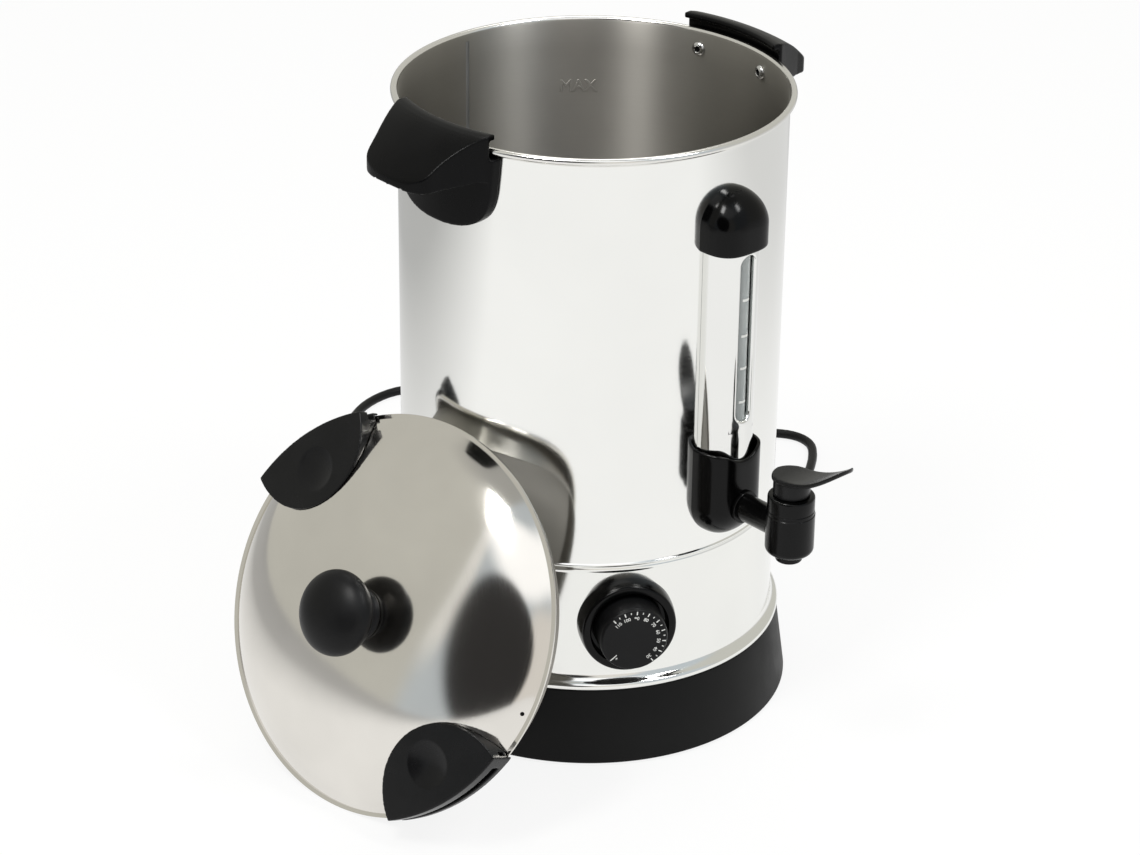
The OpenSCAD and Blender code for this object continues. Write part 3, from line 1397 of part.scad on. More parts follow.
module plug_pins() {
    color("silver") plug_frame() for (y = [-1, 1])
        translate([plug_relief_l + plug_r - 2, y * plug_pin_half_gap, plug_h - 6 + fit]) {
            cylinder(r = plug_pin_r, h = plug_pin_l + 6 - plug_pin_r, $fn = 32);
            translate([0, 0, plug_pin_l + 6 - plug_pin_r]) sphere(plug_pin_r, $fn = 32);
        }
}

tank_wall();
tank_floor();
base_band();
base_skirt();
base_plate();
base_plate_screws();
rubber_feet();
heater_plate();
heating_element();
thermal_cutout();
thermostat_body();
thermostat_screws();
thermostat_bulb();
terminal_block();
internal_wires();
earth_screw();
dial_bezel();
dial_knob();
thermostat_shaft();
gauge_cover();
gauge_top_cap();
gauge_cap_screw();
gauge_tube();
gauge_seals();
gauge_tee();
tap_housing();
tap_body();
tap_spout();
tap_nut();
tap_gaskets();
tap_bonnet();
tap_stem();
tap_seat_cup();
tap_spring();
tap_lever();
lever_pin();
handle_left();
handle_right();
handle_screws();
lid_shell();
lid_ring();
lid_lug_a();
lid_lug_b();
lug_rivets();
lid_knob();
lid_knob_screw();
cord_gland();
cord_lead();
cord_coil();
cord_tail();
mains_plug();
plug_pins();
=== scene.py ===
import math

import bmesh
import bpy
from mathutils import Matrix, Vector


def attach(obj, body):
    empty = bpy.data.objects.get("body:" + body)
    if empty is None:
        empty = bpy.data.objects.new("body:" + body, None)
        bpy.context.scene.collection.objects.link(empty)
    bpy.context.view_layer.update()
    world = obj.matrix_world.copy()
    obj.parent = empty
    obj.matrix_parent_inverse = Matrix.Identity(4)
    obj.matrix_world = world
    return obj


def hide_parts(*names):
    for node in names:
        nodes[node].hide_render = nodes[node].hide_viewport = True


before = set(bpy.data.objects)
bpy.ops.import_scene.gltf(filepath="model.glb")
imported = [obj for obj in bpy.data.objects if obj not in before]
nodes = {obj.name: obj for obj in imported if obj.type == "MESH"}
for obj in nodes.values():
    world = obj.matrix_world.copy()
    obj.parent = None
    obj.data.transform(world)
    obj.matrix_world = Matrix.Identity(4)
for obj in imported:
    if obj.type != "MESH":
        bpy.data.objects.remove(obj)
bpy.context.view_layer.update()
scene = bpy.context.scene
scene.view_settings.view_transform = "Standard"

# Sizes of the part, in millimetres
TANK_R = 112.0
TANK_IN_R = 111.0
FOOT_H = 47.8
SEAM_Z = 127.8
RIM_Z = 379.8
TAP_Z = 160.8
TAP_Y = 169.0
DIAL_AZ = -30.5
DIAL_Z = 91.0
DIAL_PRINT_H = 22.03
DIAL_FIRST_DEG = 132.0
DIAL_SWEEP_DEG = 185.0
DIAL_OFF_DEG = 221.0
GLASS_AXIS = 123.6
LID_R = 115.25
LID_RING_R = 107.5
LID_RING_H = 14.5
DOME_R = LID_R - 2.6
DOME_RISE = 28.0
LID_LEAN = 25.3
LID_AZ = -81.0
LID_PLACE_AZ = -83.3
LID_GAP = 0.3
CORD_D = 6.3
MM = 0.001


# Camera at the photograph's angle

def make_camera():
    data = bpy.data.cameras.new("camera")
    data.sensor_width = 36.0
    data.lens = 105.37
    data.clip_start = 0.05
    data.clip_end = 60.0
    ob = bpy.data.objects.new("camera", data)
    scene.collection.objects.link(ob)
    right = Vector((0.744020, -0.668066, 0.011034))
    up = Vector((0.293252, 0.341342, 0.893022))
    back = -Vector((0.600364, 0.661191, -0.449877))
    m = Matrix((right, up, back)).transposed().to_4x4()
    m.translation = Vector((-1.206143, -1.311671, 1.058255))
    ob.matrix_world = m
    scene.camera = ob


make_camera()


# Helpers for meshes

def mesh_object(name, verts, faces, mats, face_mats=None, sharp=35.0):
    """A smooth-shaded object from points in millimetres."""
    me = bpy.data.meshes.new(name)
    me.from_pydata([(x * MM, y * MM, z * MM) for x, y, z in verts], [], faces)
    for m in mats:
        me.materials.append(m)
    if face_mats:
        me.polygons.foreach_set("material_index", face_mats)
    ob = bpy.data.objects.new(name, me)
    scene.collection.objects.link(ob)
    bm = bmesh.new()
    bm.from_mesh(me)
    bmesh.ops.remove_doubles(bm, verts=bm.verts, dist=2e-6)
    bmesh.ops.dissolve_degenerate(bm, edges=bm.edges, dist=1e-6)
    bmesh.ops.recalc_face_normals(bm, faces=bm.faces)
    bm.to_mesh(me)
    bm.free()
    me.polygons.foreach_set("use_smooth", [True] * len(me.polygons))
    me.set_sharp_from_angle(angle=math.radians(sharp))
    return ob


def lathe_data(profile, seg, slots=None):
    """Verts, faces and slots of a turned profile of (radius, height) points."""
    verts, faces, face_slots = [], [], []
    for i in range(seg):
        a = math.radians(360.0 * i / seg)
        for r, z in profile:
            verts.append((r * math.sin(a), -r * math.cos(a), z))
    n = len(profile)
    for i in range(seg):
        j = (i + 1) % seg
        for k in range(n - 1):
            faces.append((i * n + k, j * n + k, j * n + k + 1, i * n + k + 1))
            face_slots.append(slots[k] if slots else 0)
    return verts, faces, face_slots


def lathe(name, profile, mats, seg=192, slots=None, matrix=None, sharp=35.0):
    verts, faces, face_slots = lathe_data(profile, seg, slots)
    if matrix is not None:
        verts = [tuple(matrix @ Vector(v)) for v in verts]
    return mesh_object(name, verts, faces, mats, face_slots, sharp)


def arc(cx, cz, r, a0, a1, n):
    return [(cx + r * math.cos(math.radians(a0 + (a1 - a0) * i / n)),
             cz + r * math.sin(math.radians(a0 + (a1 - a0) * i / n))) for i in range(n + 1)]


def rounded(points, radius, n=4):
    """The same open outline with its inner corners rounded."""
    radii = radius if isinstance(radius, (list, tuple)) else [radius] * len(points)
    out = [points[0]]
    for i in range(1, len(points) - 1):
        p, a, b = Vector(points[i]), Vector(points[i - 1]), Vector(points[i + 1])
        u, v = a - p, b - p
        d = min(radii[i], u.length * 0.45, v.length * 0.45)
        if d < 1e-4:
            out.append(tuple(p))
            continue
        s, e = p + u.normalized() * d, p + v.normalized() * d
        for k in range(n + 1):
            t = k / n
            out.append(tuple((1 - t) ** 2 * s + 2 * t * (1 - t) * p + t * t * e))
    out.append(points[-1])
    return out


def outward(az, r, z):
    """Frame at an azimuth: local Z outward, local Y up. Millimetres."""
    return (Matrix.Rotation(math.radians(az), 4, "Z") @ Matrix.Translation((0, -r, z))
            @ Matrix.Rotation(math.radians(90), 4, "X"))


def lid_matrix():
    lean = math.radians(LID_LEAN)
    far = (TANK_R + LID_GAP + LID_RING_H * math.cos(lean) + LID_RING_R * math.sin(lean)) \
        / math.cos(math.radians(LID_AZ - LID_PLACE_AZ))
    zc = LID_R * math.cos(lean) + LID_GAP
    pa = math.radians(LID_PLACE_AZ)
    return (Matrix.Translation((far * math.sin(pa), -far * math.cos(pa), zc))
            @ Matrix.Rotation(math.radians(LID_AZ), 4, "Z")
            @ Matrix.Rotation(math.radians(90 - LID_LEAN), 4, "X"))


LID = lid_matrix()


def piece(ob, body, slot, *replaced):
    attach(ob, body)
    if replaced:
        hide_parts(*replaced)
    return ob


# Materials

class Mat:
    def __init__(self, name):
        self.m = bpy.data.materials.new(name)
        self.m.use_nodes = True
        self.tree = self.m.node_tree
        self.bsdf = self.tree.nodes["Principled BSDF"]

    def add(self, kind, **props):
        n = self.tree.nodes.new(kind)
        for k, v in props.items():
            setattr(n, k, v)
        return n

    def link(self, a, b):
        self.tree.links.new(a, b)

    def set(self, **values):
        for k, v in values.items():
            self.bsdf.inputs[k.replace("_", " ")].default_value = v

    def coords(self, scale=(1, 1, 1)):
        c = self.add("ShaderNodeTexCoord")
        m = self.add("ShaderNodeMapping")
        m.inputs["Scale"].default_value = scale
        self.link(c.outputs["Object"], m.inputs["Vector"])
        return m.outputs["Vector"]

    def noise(self, vector, scale, detail=3.0, rough=0.55):
        n = self.add("ShaderNodeTexNoise")
        n.inputs["Scale"].default_value = scale
        n.inputs["Detail"].default_value = detail
        n.inputs["Roughness"].default_value = rough
        self.link(vector, n.inputs["Vector"])
        return n.outputs["Fac"]

    def ramp(self, fac, stops):
        r = self.add("ShaderNodeValToRGB")
        e = r.color_ramp.elements
        while len(e) < len(stops):
            e.new(0.5)
        for el, (pos, col) in zip(e, stops):
            el.position = pos
            el.color = (*col, 1.0)
        self.link(fac, r.inputs["Fac"])
        return r.outputs["Color"]

    def remap(self, fac, lo, hi, src=(0.3, 0.7)):
        r = self.add("ShaderNodeMapRange")
        r.inputs["From Min"].default_value = src[0]
        r.inputs["From Max"].default_value = src[1]
        r.inputs["To Min"].default_value = lo
        r.inputs["To Max"].default_value = hi
        self.link(fac, r.inputs["Value"])
        return r.outputs["Result"]

    def bump(self, height, strength, distance):
        b = self.add("ShaderNodeBump")
        b.inputs["Strength"].default_value = strength
        b.inputs["Distance"].default_value = distance
        self.link(height, b.inputs["Height"])
        return b.outputs["Normal"]


def shade(c, k):
    return tuple(min(1.0, v * k) for v in c)


def plastic(name, color, rough, spread, grain, depth, mottle=0.25, specular=0.5):
    """Moulded plastic: fine grain in the surface and a soft unevenness of gloss."""
    m = Mat(name)
    v = m.coords()
    fine = m.noise(v, grain, 2.0)
    broad = m.noise(v, 38.0, 4.0, 0.6)
    tones = [(0.3, shade(color, 1 - mottle)), (0.7, shade(color, 1 + mottle))]
    m.link(m.ramp(broad, tones), m.bsdf.inputs["Base Color"])
    m.link(m.remap(broad, rough - spread, rough + spread), m.bsdf.inputs["Roughness"])
    m.link(m.bump(fine, depth, 0.0001), m.bsdf.inputs["Normal"])
    m.set(Specular_IOR_Level=specular)
    return m.m


def steel(name, color, rough, spread, stretch, depth, tint=0.05, aniso=0.0, smear=0.0):
    """Polished or brushed sheet: fine lines across the stretch, slight patches of colour and gloss."""
    m = Mat(name)
    v = m.coords(stretch)
    lines = m.noise(v, 1.0, 4.0, 0.65)
    plain = m.coords()
    patch = m.noise(plain, 14.0, 3.0, 0.5)
    tones = [(0.25, shade(color, 1 - tint)), (0.75, shade(color, 1 + tint))]
    m.link(m.ramp(patch, tones), m.bsdf.inputs["Base Color"])
    both = m.add("ShaderNodeMath", operation="MULTIPLY_ADD")
    m.link(patch, both.inputs[0])
    both.inputs[1].default_value = smear
    m.link(lines, both.inputs[2])
    gloss = m.remap(both.outputs[0], rough - spread, rough + spread, (0.3, 0.7 + smear))
    m.link(gloss, m.bsdf.inputs["Roughness"])
    m.link(m.bump(lines, depth, 0.00005), m.bsdf.inputs["Normal"])
    m.set(Metallic=1.0)
    if aniso:
        m.set(Anisotropic=aniso, Anisotropic_Rotation=0.25)
        t = m.add("ShaderNodeTangent", direction_type="RADIAL", axis="Z")
        m.link(t.outputs["Tangent"], m.bsdf.inputs["Tangent"])
    return m.m


def turned_steel(name, color, rough, spread, centre, axis_turn, depth):
    """Sheet polished on a lathe: rings round an axis through a point."""
    m = Mat(name)
    c = m.add("ShaderNodeTexCoord")
    mp = m.add("ShaderNodeMapping", vector_type="TEXTURE")
    mp.inputs["Location"].default_value = centre
    mp.inputs["Rotation"].default_value = axis_turn
    m.link(c.outputs["Object"], mp.inputs["Vector"])
    flat = m.add("ShaderNodeVectorMath", operation="MULTIPLY")
    flat.inputs[1].default_value = (1, 1, 0)
    m.link(mp.outputs["Vector"], flat.inputs[0])
    dist = m.add("ShaderNodeVectorMath", operation="LENGTH")
    m.link(flat.outputs["Vector"], dist.inputs[0])
    lines = m.add("ShaderNodeTexNoise", noise_dimensions="1D")
    lines.inputs["Scale"].default_value = 2600.0
    lines.inputs["Detail"].default_value = 4.0
    m.link(dist.outputs["Value"], lines.inputs["W"])
    patch = m.noise(mp.outputs["Vector"], 18.0, 3.0)
    tones = [(0.25, shade(color, 0.95)), (0.75, shade(color, 1.04))]
    m.link(m.ramp(patch, tones), m.bsdf.inputs["Base Color"])
    m.link(m.remap(lines.outputs["Fac"], rough - spread, rough + spread), m.bsdf.inputs["Roughness"])
    m.link(m.bump(lines.outputs["Fac"], depth, 0.00005), m.bsdf.inputs["Normal"])
    m.set(Metallic=1.0)
    return m.m


def glass(name):
    m = Mat(name)
    v = m.coords()
    m.set(Transmission_Weight=0.6, IOR=1.45)
    m.link(m.remap(m.noise(v, 300.0), 0.02, 0.07), m.bsdf.inputs["Roughness"])
    tones = [(0.3, (0.62, 0.66, 0.66)), (0.7, (0.72, 0.75, 0.74))]
    m.link(m.ramp(m.noise(v, 60.0), tones), m.bsdf.inputs["Base Color"])
    return m.m


STEEL = steel("polished_steel", (0.86, 0.86, 0.835), 0.10, 0.045, (3.0, 3.0, 700.0), 0.05, 0.02, 0.0, 0.6)
BAND_STEEL = steel("polished_band", (0.84, 0.84, 0.81), 0.12, 0.045, (3.0, 3.0, 900.0), 0.05, 0.02, 0.0, 0.6)
# The brushed, anisotropic finish of the inside and under surfaces is real; their dark tone, far below the
# outer steel, is painted shade of the tank's inside and the lid's underside.
INNER_STEEL_SHADED = steel("brushed_inside_painted_shade", (0.40, 0.385, 0.355),
                    0.47, 0.05, (3.0, 3.0, 1500.0), 0.10, 0.05, 0.93, 0.3)
FLOOR_STEEL = turned_steel("brushed_floor", (0.62, 0.60, 0.57), 0.34, 0.07, (0, 0, 0), (0, 0, 0), 0.2)
RIM_STEEL = steel("rim_steel", (0.78, 0.77, 0.74), 0.16, 0.05, (3.0, 3.0, 900.0), 0.05, 0.03)
COVER_STEEL = steel("cover_steel", (0.82, 0.82, 0.80), 0.085, 0.035, (900.0, 900.0, 6.0), 0.04, 0.02)
BRIGHT = steel("bright_fastener", (0.62, 0.62, 0.61), 0.22, 0.08, (500.0, 500.0, 500.0), 0.08, 0.08)
lid_place, lid_turn, _ = LID.decompose()
LID_STEEL = turned_steel("lid_steel", (0.74, 0.715, 0.67),
                         0.10, 0.035, lid_place * MM, lid_turn.to_euler(), 0.05)
SATIN = plastic("satin_black", (0.0018, 0.0018, 0.0020), 0.29, 0.06, 1600.0, 0.08, 0.25, 0.11)
LUG_BLACK = plastic("lug_black", (0.0050, 0.0050, 0.0054), 0.25, 0.06, 1600.0, 0.06, 0.25, 0.20)
KNOB_BLACK = plastic("knob_black", (0.0046, 0.0046, 0.0050), 0.40, 0.06, 1300.0, 0.12, 0.25, 0.18)
GLOSS = plastic("gloss_black", (0.0010, 0.0010, 0.0011), 0.18, 0.04, 900.0, 0.03, 0.25, 0.17)
TAP_BLACK = plastic("tap_black", (0.0017, 0.0017, 0.0018), 0.20, 0.06, 1200.0, 0.05, 0.25, 0.19)
LEVER_BLACK = plastic("lever_black", (0.0050, 0.0050, 0.0054), 0.30, 0.07, 1300.0, 0.08, 0.25, 0.24)
SKIRT = plastic("skirt_black", (0.0050, 0.0050, 0.0050), 0.48, 0.06, 1100.0, 0.20, 0.25, 0.14)
FACE_BLACK = plastic("dial_face", (0.0105, 0.0105, 0.0115), 0.45, 0.05, 1500.0, 0.12, 0.2, 0.20)
CORD_BLACK = plastic("cord_black", (0.0045, 0.0045, 0.0046), 0.40, 0.07, 1200.0, 0.08, 0.25, 0.18)
RUBBER = plastic("rubber_black", (0.009, 0.009, 0.009), 0.72, 0.08, 900.0, 0.3, 0.25, 0.25)
# Near-black paint that stands in for the shade inside recesses and holes: painted shade, not the parts' own
# colour.
RECESS_PAINTED_SHADE = plastic("recess_painted_shade", (0.004, 0.004, 0.004), 0.8, 0.08, 900.0, 0.2, 0.25, 0.1)
WHITE_RUBBER = plastic("pale_rubber", (0.66, 0.64, 0.60), 0.55, 0.08, 900.0, 0.2, 0.06)
PALE = plastic("pale_plastic", (0.70, 0.67, 0.60), 0.45, 0.08, 900.0, 0.1, 0.06)
MARK = plastic("white_print", (0.72, 0.72, 0.70), 0.55, 0.06, 2500.0, 0.1, 0.10)
PLATE = steel("zinc_plate", (0.50, 0.51, 0.52), 0.42, 0.12, (30.0, 30.0, 30.0), 0.1, 0.1)
ALU = steel("cast_aluminium", (0.58, 0.58, 0.57), 0.45, 0.1, (200.0, 200.0, 200.0), 0.2, 0.06)
SHEATH = steel("element_sheath", (0.20, 0.18, 0.16), 0.48, 0.1, (90.0, 90.0, 90.0), 0.15, 0.2)
COPPER = steel("copper", (0.66, 0.36, 0.22), 0.32, 0.1, (120.0, 120.0, 120.0), 0.1, 0.12)
BRASS = steel("brass_bare", (0.68, 0.50, 0.22), 0.3, 0.1, (120.0, 120.0, 120.0), 0.1, 0.1)
WIRE = plastic("wire_sleeve", (0.16, 0.09, 0.06), 0.5, 0.08, 900.0, 0.1)
GLASS = glass("gauge_glass")

CAD_MATERIALS = {
    "tank_floor": FLOOR_STEEL, "lid_ring": INNER_STEEL_SHADED, "base_plate": PLATE,
    "base_plate_screws": BRIGHT, "thermostat_screws": BRIGHT, "thermostat_shaft": BRIGHT,
    "gauge_cap_screw": BRIGHT, "tap_stem": BRIGHT, "tap_spring": BRIGHT, "lever_pin": BRIGHT,
    "handle_screws": BRIGHT, "lug_rivets": BRIGHT, "lid_knob_screw": BRIGHT, "plug_pins": BRIGHT,
    "mains_plug": SATIN, "tap_nut": SATIN, "gauge_tee": SATIN, "rubber_feet": RUBBER,
    "cord_gland": CORD_BLACK, "tap_seat_cup": WHITE_RUBBER, "tap_gaskets": WHITE_RUBBER,
    "gauge_seals": WHITE_RUBBER, "gauge_tube": GLASS, "heater_plate": ALU, "heating_element": SHEATH,
    "thermostat_bulb": COPPER, "earth_screw": BRASS, "internal_wires": WIRE, "thermal_cutout": PALE,
    "thermostat_body": PALE, "terminal_block": PALE, "tank_wall": STEEL, "base_band": BAND_STEEL,
    "base_skirt": SKIRT, "gauge_cover": COVER_STEEL, "lid_shell": LID_STEEL, "handle_left": SATIN,
    "handle_right": SATIN, "lid_lug_a": LUG_BLACK, "lid_lug_b": LUG_BLACK, "lid_knob": KNOB_BLACK,
    "dial_knob": FACE_BLACK, "dial_bezel": GLOSS, "gauge_top_cap": GLOSS, "tap_housing": GLOSS,
    "tap_body": TAP_BLACK, "tap_spout": TAP_BLACK, "tap_bonnet": TAP_BLACK, "tap_lever": LEVER_BLACK,
    "cord_lead": CORD_BLACK, "cord_coil": CORD_BLACK, "cord_tail": CORD_BLACK,
}
for node_name, material in CAD_MATERIALS.items():
    data = nodes[node_name].data
    data.materials.clear()
    data.materials.append(material)


# The mains cord, on the same route as the solids

def unit(v):
    return v / v.length


def spline(p0, p1, p2, p3, t):
    return 0.5 * (2 * p1 + (p2 - p0) * t + (2 * p0 - 5 * p1 + 4 * p2 - p3) * t * t
                  + (3 * p1 - p0 - 3 * p2 + p3) * t ** 3)


def smooth_route(pts, n):
    last = len(pts) - 1
    out = []
    for i in range(last):
        q = [pts[max(0, min(last, i + k))] for k in (-1, 0, 1, 2)]
        for k in range(n):
            out.append(spline(*q, k / n))
    out.append(pts[last])
    return out


COIL_CENTRE = Vector((132.0, 235.0, 0.0))
COIL_R, COIL_STEP, COIL_IN, COIL_TURNS = 42.0, 7.0, 1.75, 3.0


def coil_point(u):
    r = COIL_R - COIL_STEP * u if u < COIL_IN else COIL_R - COIL_STEP * (2 * COIL_IN - u)
    t = min(1.0, max(0.0, (u - COIL_IN + 0.25) / 0.5))
    a = math.radians(225 + 360 * u)
    lift = (CORD_D + 0.5) * t * t * (3 - 2 * t)
    return COIL_CENTRE + Vector((r * math.cos(a), r * math.sin(a), CORD_D / 2 + 0.05 + lift))


LEAD_POINTS = [
    (0, 172, 14), (8, 195, 8), (28, 211, 3.6), (56, 208, 3.2), (86, 186, 3.2), (118, 150, 3.2),
    (150, 112, 3.2), (186, 82, 3.2), (225, 68, 3.2), (262, 72, 3.2), (288, 87, 3.2), (307, 104, 3.2),
    (313, 116, 3.2), (312, 128, 3.2), (304, 140, 3.2), (284, 161, 3.2), (260, 193, 3.2), (238, 229, 3.2),
    (219, 267, 3.2), (200, 305, 3.2), (180, 336, 3.2), (164, 354, 3.2), (146, 363, 3.2), (126, 363, 3.2),
    (106, 356, 3.2), (86, 342, 3.2), (71, 323, 3.2), (62, 300, 3.2), (60, 274, 3.2), (67, 248, 3.2),
    (80, 228, 3.2),
]
GLAND_R = 122.5 - (6.5 / 46.3) * 15.5
RELIEF_END = GLAND_R + 2.6 + 28.0


def cord_route():
    coil_in = unit(coil_point(0.004) - coil_point(0.0))
    coil_out = unit(coil_point(COIL_TURNS) - coil_point(COIL_TURNS - 0.004))
    start = Vector((0, RELIEF_END + 0.2, 17.0))
    lead_end = coil_point(0.0) - (CORD_D + 0.2) * coil_in
    lead = [start, start + Vector((0, 8, -0.2))]
    knots = [Vector(p) for p in LEAD_POINTS]
    lead += smooth_route([start + Vector((0, 16, -0.7))] + knots + [lead_end - 8 * coil_in], 3)
    lead += [lead_end]
    coil = [coil_point(i / 40) for i in range(int(COIL_TURNS * 40) + 1)]
    tail_end = coil_point(COIL_TURNS) + (CORD_D + 0.2 + 44.0) * coil_out
    tail = [coil_point(COIL_TURNS) + k * coil_out for k in (CORD_D, 22.0, 36.0)]
    return lead + coil + tail + [tail_end]


def make_cord():
    route = cord_route()
    curve = bpy.data.curves.new("mains_cord", "CURVE")
    curve.dimensions = "3D"
    curve.bevel_depth = CORD_D / 2 * MM
    curve.bevel_resolution = 5
    curve.use_fill_caps = True
    sp = curve.splines.new("POLY")
    sp.points.add(len(route) - 1)
    for p, v in zip(sp.points, route):
        p.co = (v.x * MM, v.y * MM, v.z * MM, 1.0)
    sp.use_smooth = True
    curve.materials.append(CORD_BLACK)
    ob = bpy.data.objects.new("mains_cord", curve)
    scene.collection.objects.link(ob)
    length = sum((b - a).length for a, b in zip(route, route[1:])) * MM
    return ob, length


cord, cord_length = make_cord()
piece(cord, "urn", "black_rubber", "cord_lead", "cord_coil", "cord_tail")


def make_tie():
    """A strap that holds the turns of the coil together."""
    a = math.radians(40)
    out = Vector((math.cos(a), math.sin(a), 0))
    side = Vector((-math.sin(a), math.cos(a), 0))
    lo, hi, top = 26.6, 45.6, 13.4
    outline = rounded([(lo, 6.5), (lo, 0.15), (hi, 0.15), (hi, top), (lo, top), (lo, 6.5)], 2.4, 5)
    verts, faces = [], []
    mid_r, mid_z, half_w = (lo + hi) / 2, top / 2, 3.5
    for r, z in outline:
        for w, t in ((-half_w, 0), (half_w, 0), (half_w, 1), (-half_w, 1)):
            rr = r - (0.7 * t if r > mid_r else -0.7 * t)
            zz = z - (0.5 * t if z > mid_z else -0.5 * t)
            verts.append(tuple(COIL_CENTRE + out * rr + side * w + Vector((0, 0, zz))))
    n = len(outline)
    for i in range(n - 1):
        for k in range(4):
            m = (k + 1) % 4
            faces.append((4 * i + k, 4 * (i + 1) + k, 4 * (i + 1) + m, 4 * i + m))
    return mesh_object("coil_tie", verts, faces, [RUBBER])


tie = piece(make_tie(), "urn", "black_rubber")


# Tank, band and foot

def make_tank():
    low = [(TANK_IN_R, SEAM_Z), (111.9, SEAM_Z)] + arc(111.9, SEAM_Z + 0.8, 0.8, -90, 60, 8)
    wall = [(TANK_R, z) for z in (SEAM_Z + 1.9, SEAM_Z + 2.6, 180.0, 260.0, 340.0, RIM_Z - 6.4, RIM_Z - 5.6)]
    bead = arc(113.7, RIM_Z - 2.1, 2.1, 228, 525, 26)
    inside = [(111.05, RIM_Z - 3.4)] + [(TANK_IN_R, z) for z in (360.0, 300.0, 220.0, 160.0, SEAM_Z)]
    profile = low + wall + bead + inside
    slots = [0] * (len(low) + len(wall) - 1) + [1] * len(bead) + [2] * (len(inside))
    ob = lathe("tank_shell", profile, [STEEL, RIM_STEEL, INNER_STEEL_SHADED], 256, slots[:len(profile) - 1])
    return piece(ob, "urn", "polished_steel", "tank_wall")


def make_band():
    bead = [(TANK_IN_R, 0.1), (111.5, 0.1), (111.95, 0.5), (TANK_R, 1.2), (112.26, 1.7), (112.34, 2.4),
            (112.26, 3.1), (TANK_R, 3.6), (TANK_R, 4.2)]
    wall = [(TANK_R, z) for z in (100.0, 58.4, 57.2)]
    flange = [(112.15, 56.0), (112.7, 54.6), (113.7, 53.3), (114.9, 52.4), (115.9, 51.8), (116.5, 51.1),
              (116.8, 50.2), (116.8, 49.2), (116.6, 48.4), (116.1, 47.95), (115.4, FOOT_H),
              (TANK_IN_R, FOOT_H)]
    profile = [(r, SEAM_Z - drop) for r, drop in bead] + wall + flange
    return piece(lathe("steel_band", profile, [BAND_STEEL], 256), "urn", "polished_steel", "base_band")


def make_skirt():
    outline = [(108.0, FOOT_H + 8), (110.7, FOOT_H + 8), (110.7, FOOT_H), (116.0, FOOT_H),
               (122.5, 1.5), (119.5, 1.5), (113.2, 44.6), (108.0, 44.6)]
    ob = lathe("foot_shell", rounded(outline, [0, 0.6, 0.6, 1.2, 1.2, 0.8, 1, 0], 5), [SKIRT], 256)
    return piece(ob, "urn", "black_plastic", "base_skirt")


def make_seam():
    """Weld bead down the inside of the wall."""
    verts, faces = [], []
    ridge = ((-1.3, 0.0), (-0.7, 0.16), (0.0, 0.24), (0.7, 0.16), (1.3, 0.0))
    for z in (131.0, 200.0, 290.0, 374.0):
        for x, h in ridge:
            a = math.radians(180.0) - x / TANK_IN_R
            verts.append(((TANK_IN_R - h) * math.sin(a), -(TANK_IN_R - h) * math.cos(a), z))
    for j in range(3):
        for i in range(4):
            faces.append((5 * j + i, 5 * j + i + 1, 5 * j + i + 6, 5 * j + i + 5))
    return piece(mesh_object("tank_seam", verts, faces, [PLATE]), "urn", "polished_steel")


def text_mesh(name, text, size, **style):
    """Mesh of a centred line of text, in millimetres."""
    data = bpy.data.curves.new(name, "FONT")
    data.body = text
    data.align_x = "CENTER"
    data.align_y = "CENTER"
    data.size = size
    for key, value in style.items():
        setattr(data, key, value)
    tmp = bpy.data.objects.new(name, data)
    scene.collection.objects.link(tmp)
    dg = bpy.context.evaluated_depsgraph_get()
    me = bpy.data.meshes.new_from_object(tmp.evaluated_get(dg))
    bpy.data.objects.remove(tmp)
    return me


def text_object(name, me, material):
    me.materials.clear()
    me.materials.append(material)
    ob = bpy.data.objects.new(name, me)
    scene.collection.objects.link(ob)
    return ob


def make_fill_mark():
    """Raised fill mark on the inside of the wall."""
    az, height = math.radians(142.4), 336.0
    me = text_mesh("fill_mark", "MAX", 10.5, extrude=0.15, bevel_depth=0.22)
    for v in me.vertices:
        a = az - v.co.x / TANK_IN_R
        r = TANK_IN_R - v.co.z
        v.co = (MM * r * math.sin(a), -MM * r * math.cos(a), MM * (height + v.co.y))
    return piece(text_object("fill_mark", me, INNER_STEEL_SHADED), "urn", "polished_steel")


make_tank()
make_band()
make_skirt()
make_seam()
make_fill_mark()


# Wall covers: a rounded outline lofted along the height

def wall_h(x):
    return math.sqrt(TANK_R * TANK_R - x * x) - TANK_R


def cover_outline(half_w, depth, n, square=3.0):
    """Points (x, h) from one side of a cover to the other, h measured outward from the wall."""
    base = wall_h(half_w)
    pts = []
    for i in range(n + 1):
        t = math.pi * i / n
        c, s = math.cos(t), max(0.0, math.sin(t))
        pts.append((half_w * math.copysign(abs(c) ** (2 / square), c),
                    base + (depth - base) * s ** (2 / square)))
    return pts


def loft_cover(name, rows, mats, sharp=40.0):
    """A skin over rows of (x, h, z) points."""
    verts, faces = [], []
    n = len(rows[0])
    for row in rows:
        for x, h, z in row:
            verts.append((x, -(TANK_R + h), z))
    for j in range(len(rows) - 1):
        for i in range(n - 1):
            faces.append((j * n + i, j * n + i + 1, (j + 1) * n + i + 1, (j + 1) * n + i))
    return mesh_object(name, verts, faces, mats, None, sharp)


END_ROWS = 30
END_DEG = 89.4


def round_end(mid, half_w, depth, n, way):
    """Rows of a cover's half-round end, from its tip to its full width."""
    rows = []
    for i in range(END_ROWS, -1, -1):
        a = math.radians(END_DEG * i / END_ROWS)
        k = math.cos(a)
        rows.append([(x, h, mid + way * half_w * math.sin(a))
                     for x, h in cover_outline(half_w * k, depth * k, n, 3.0 - 0.8 * math.sin(a))])
    return rows


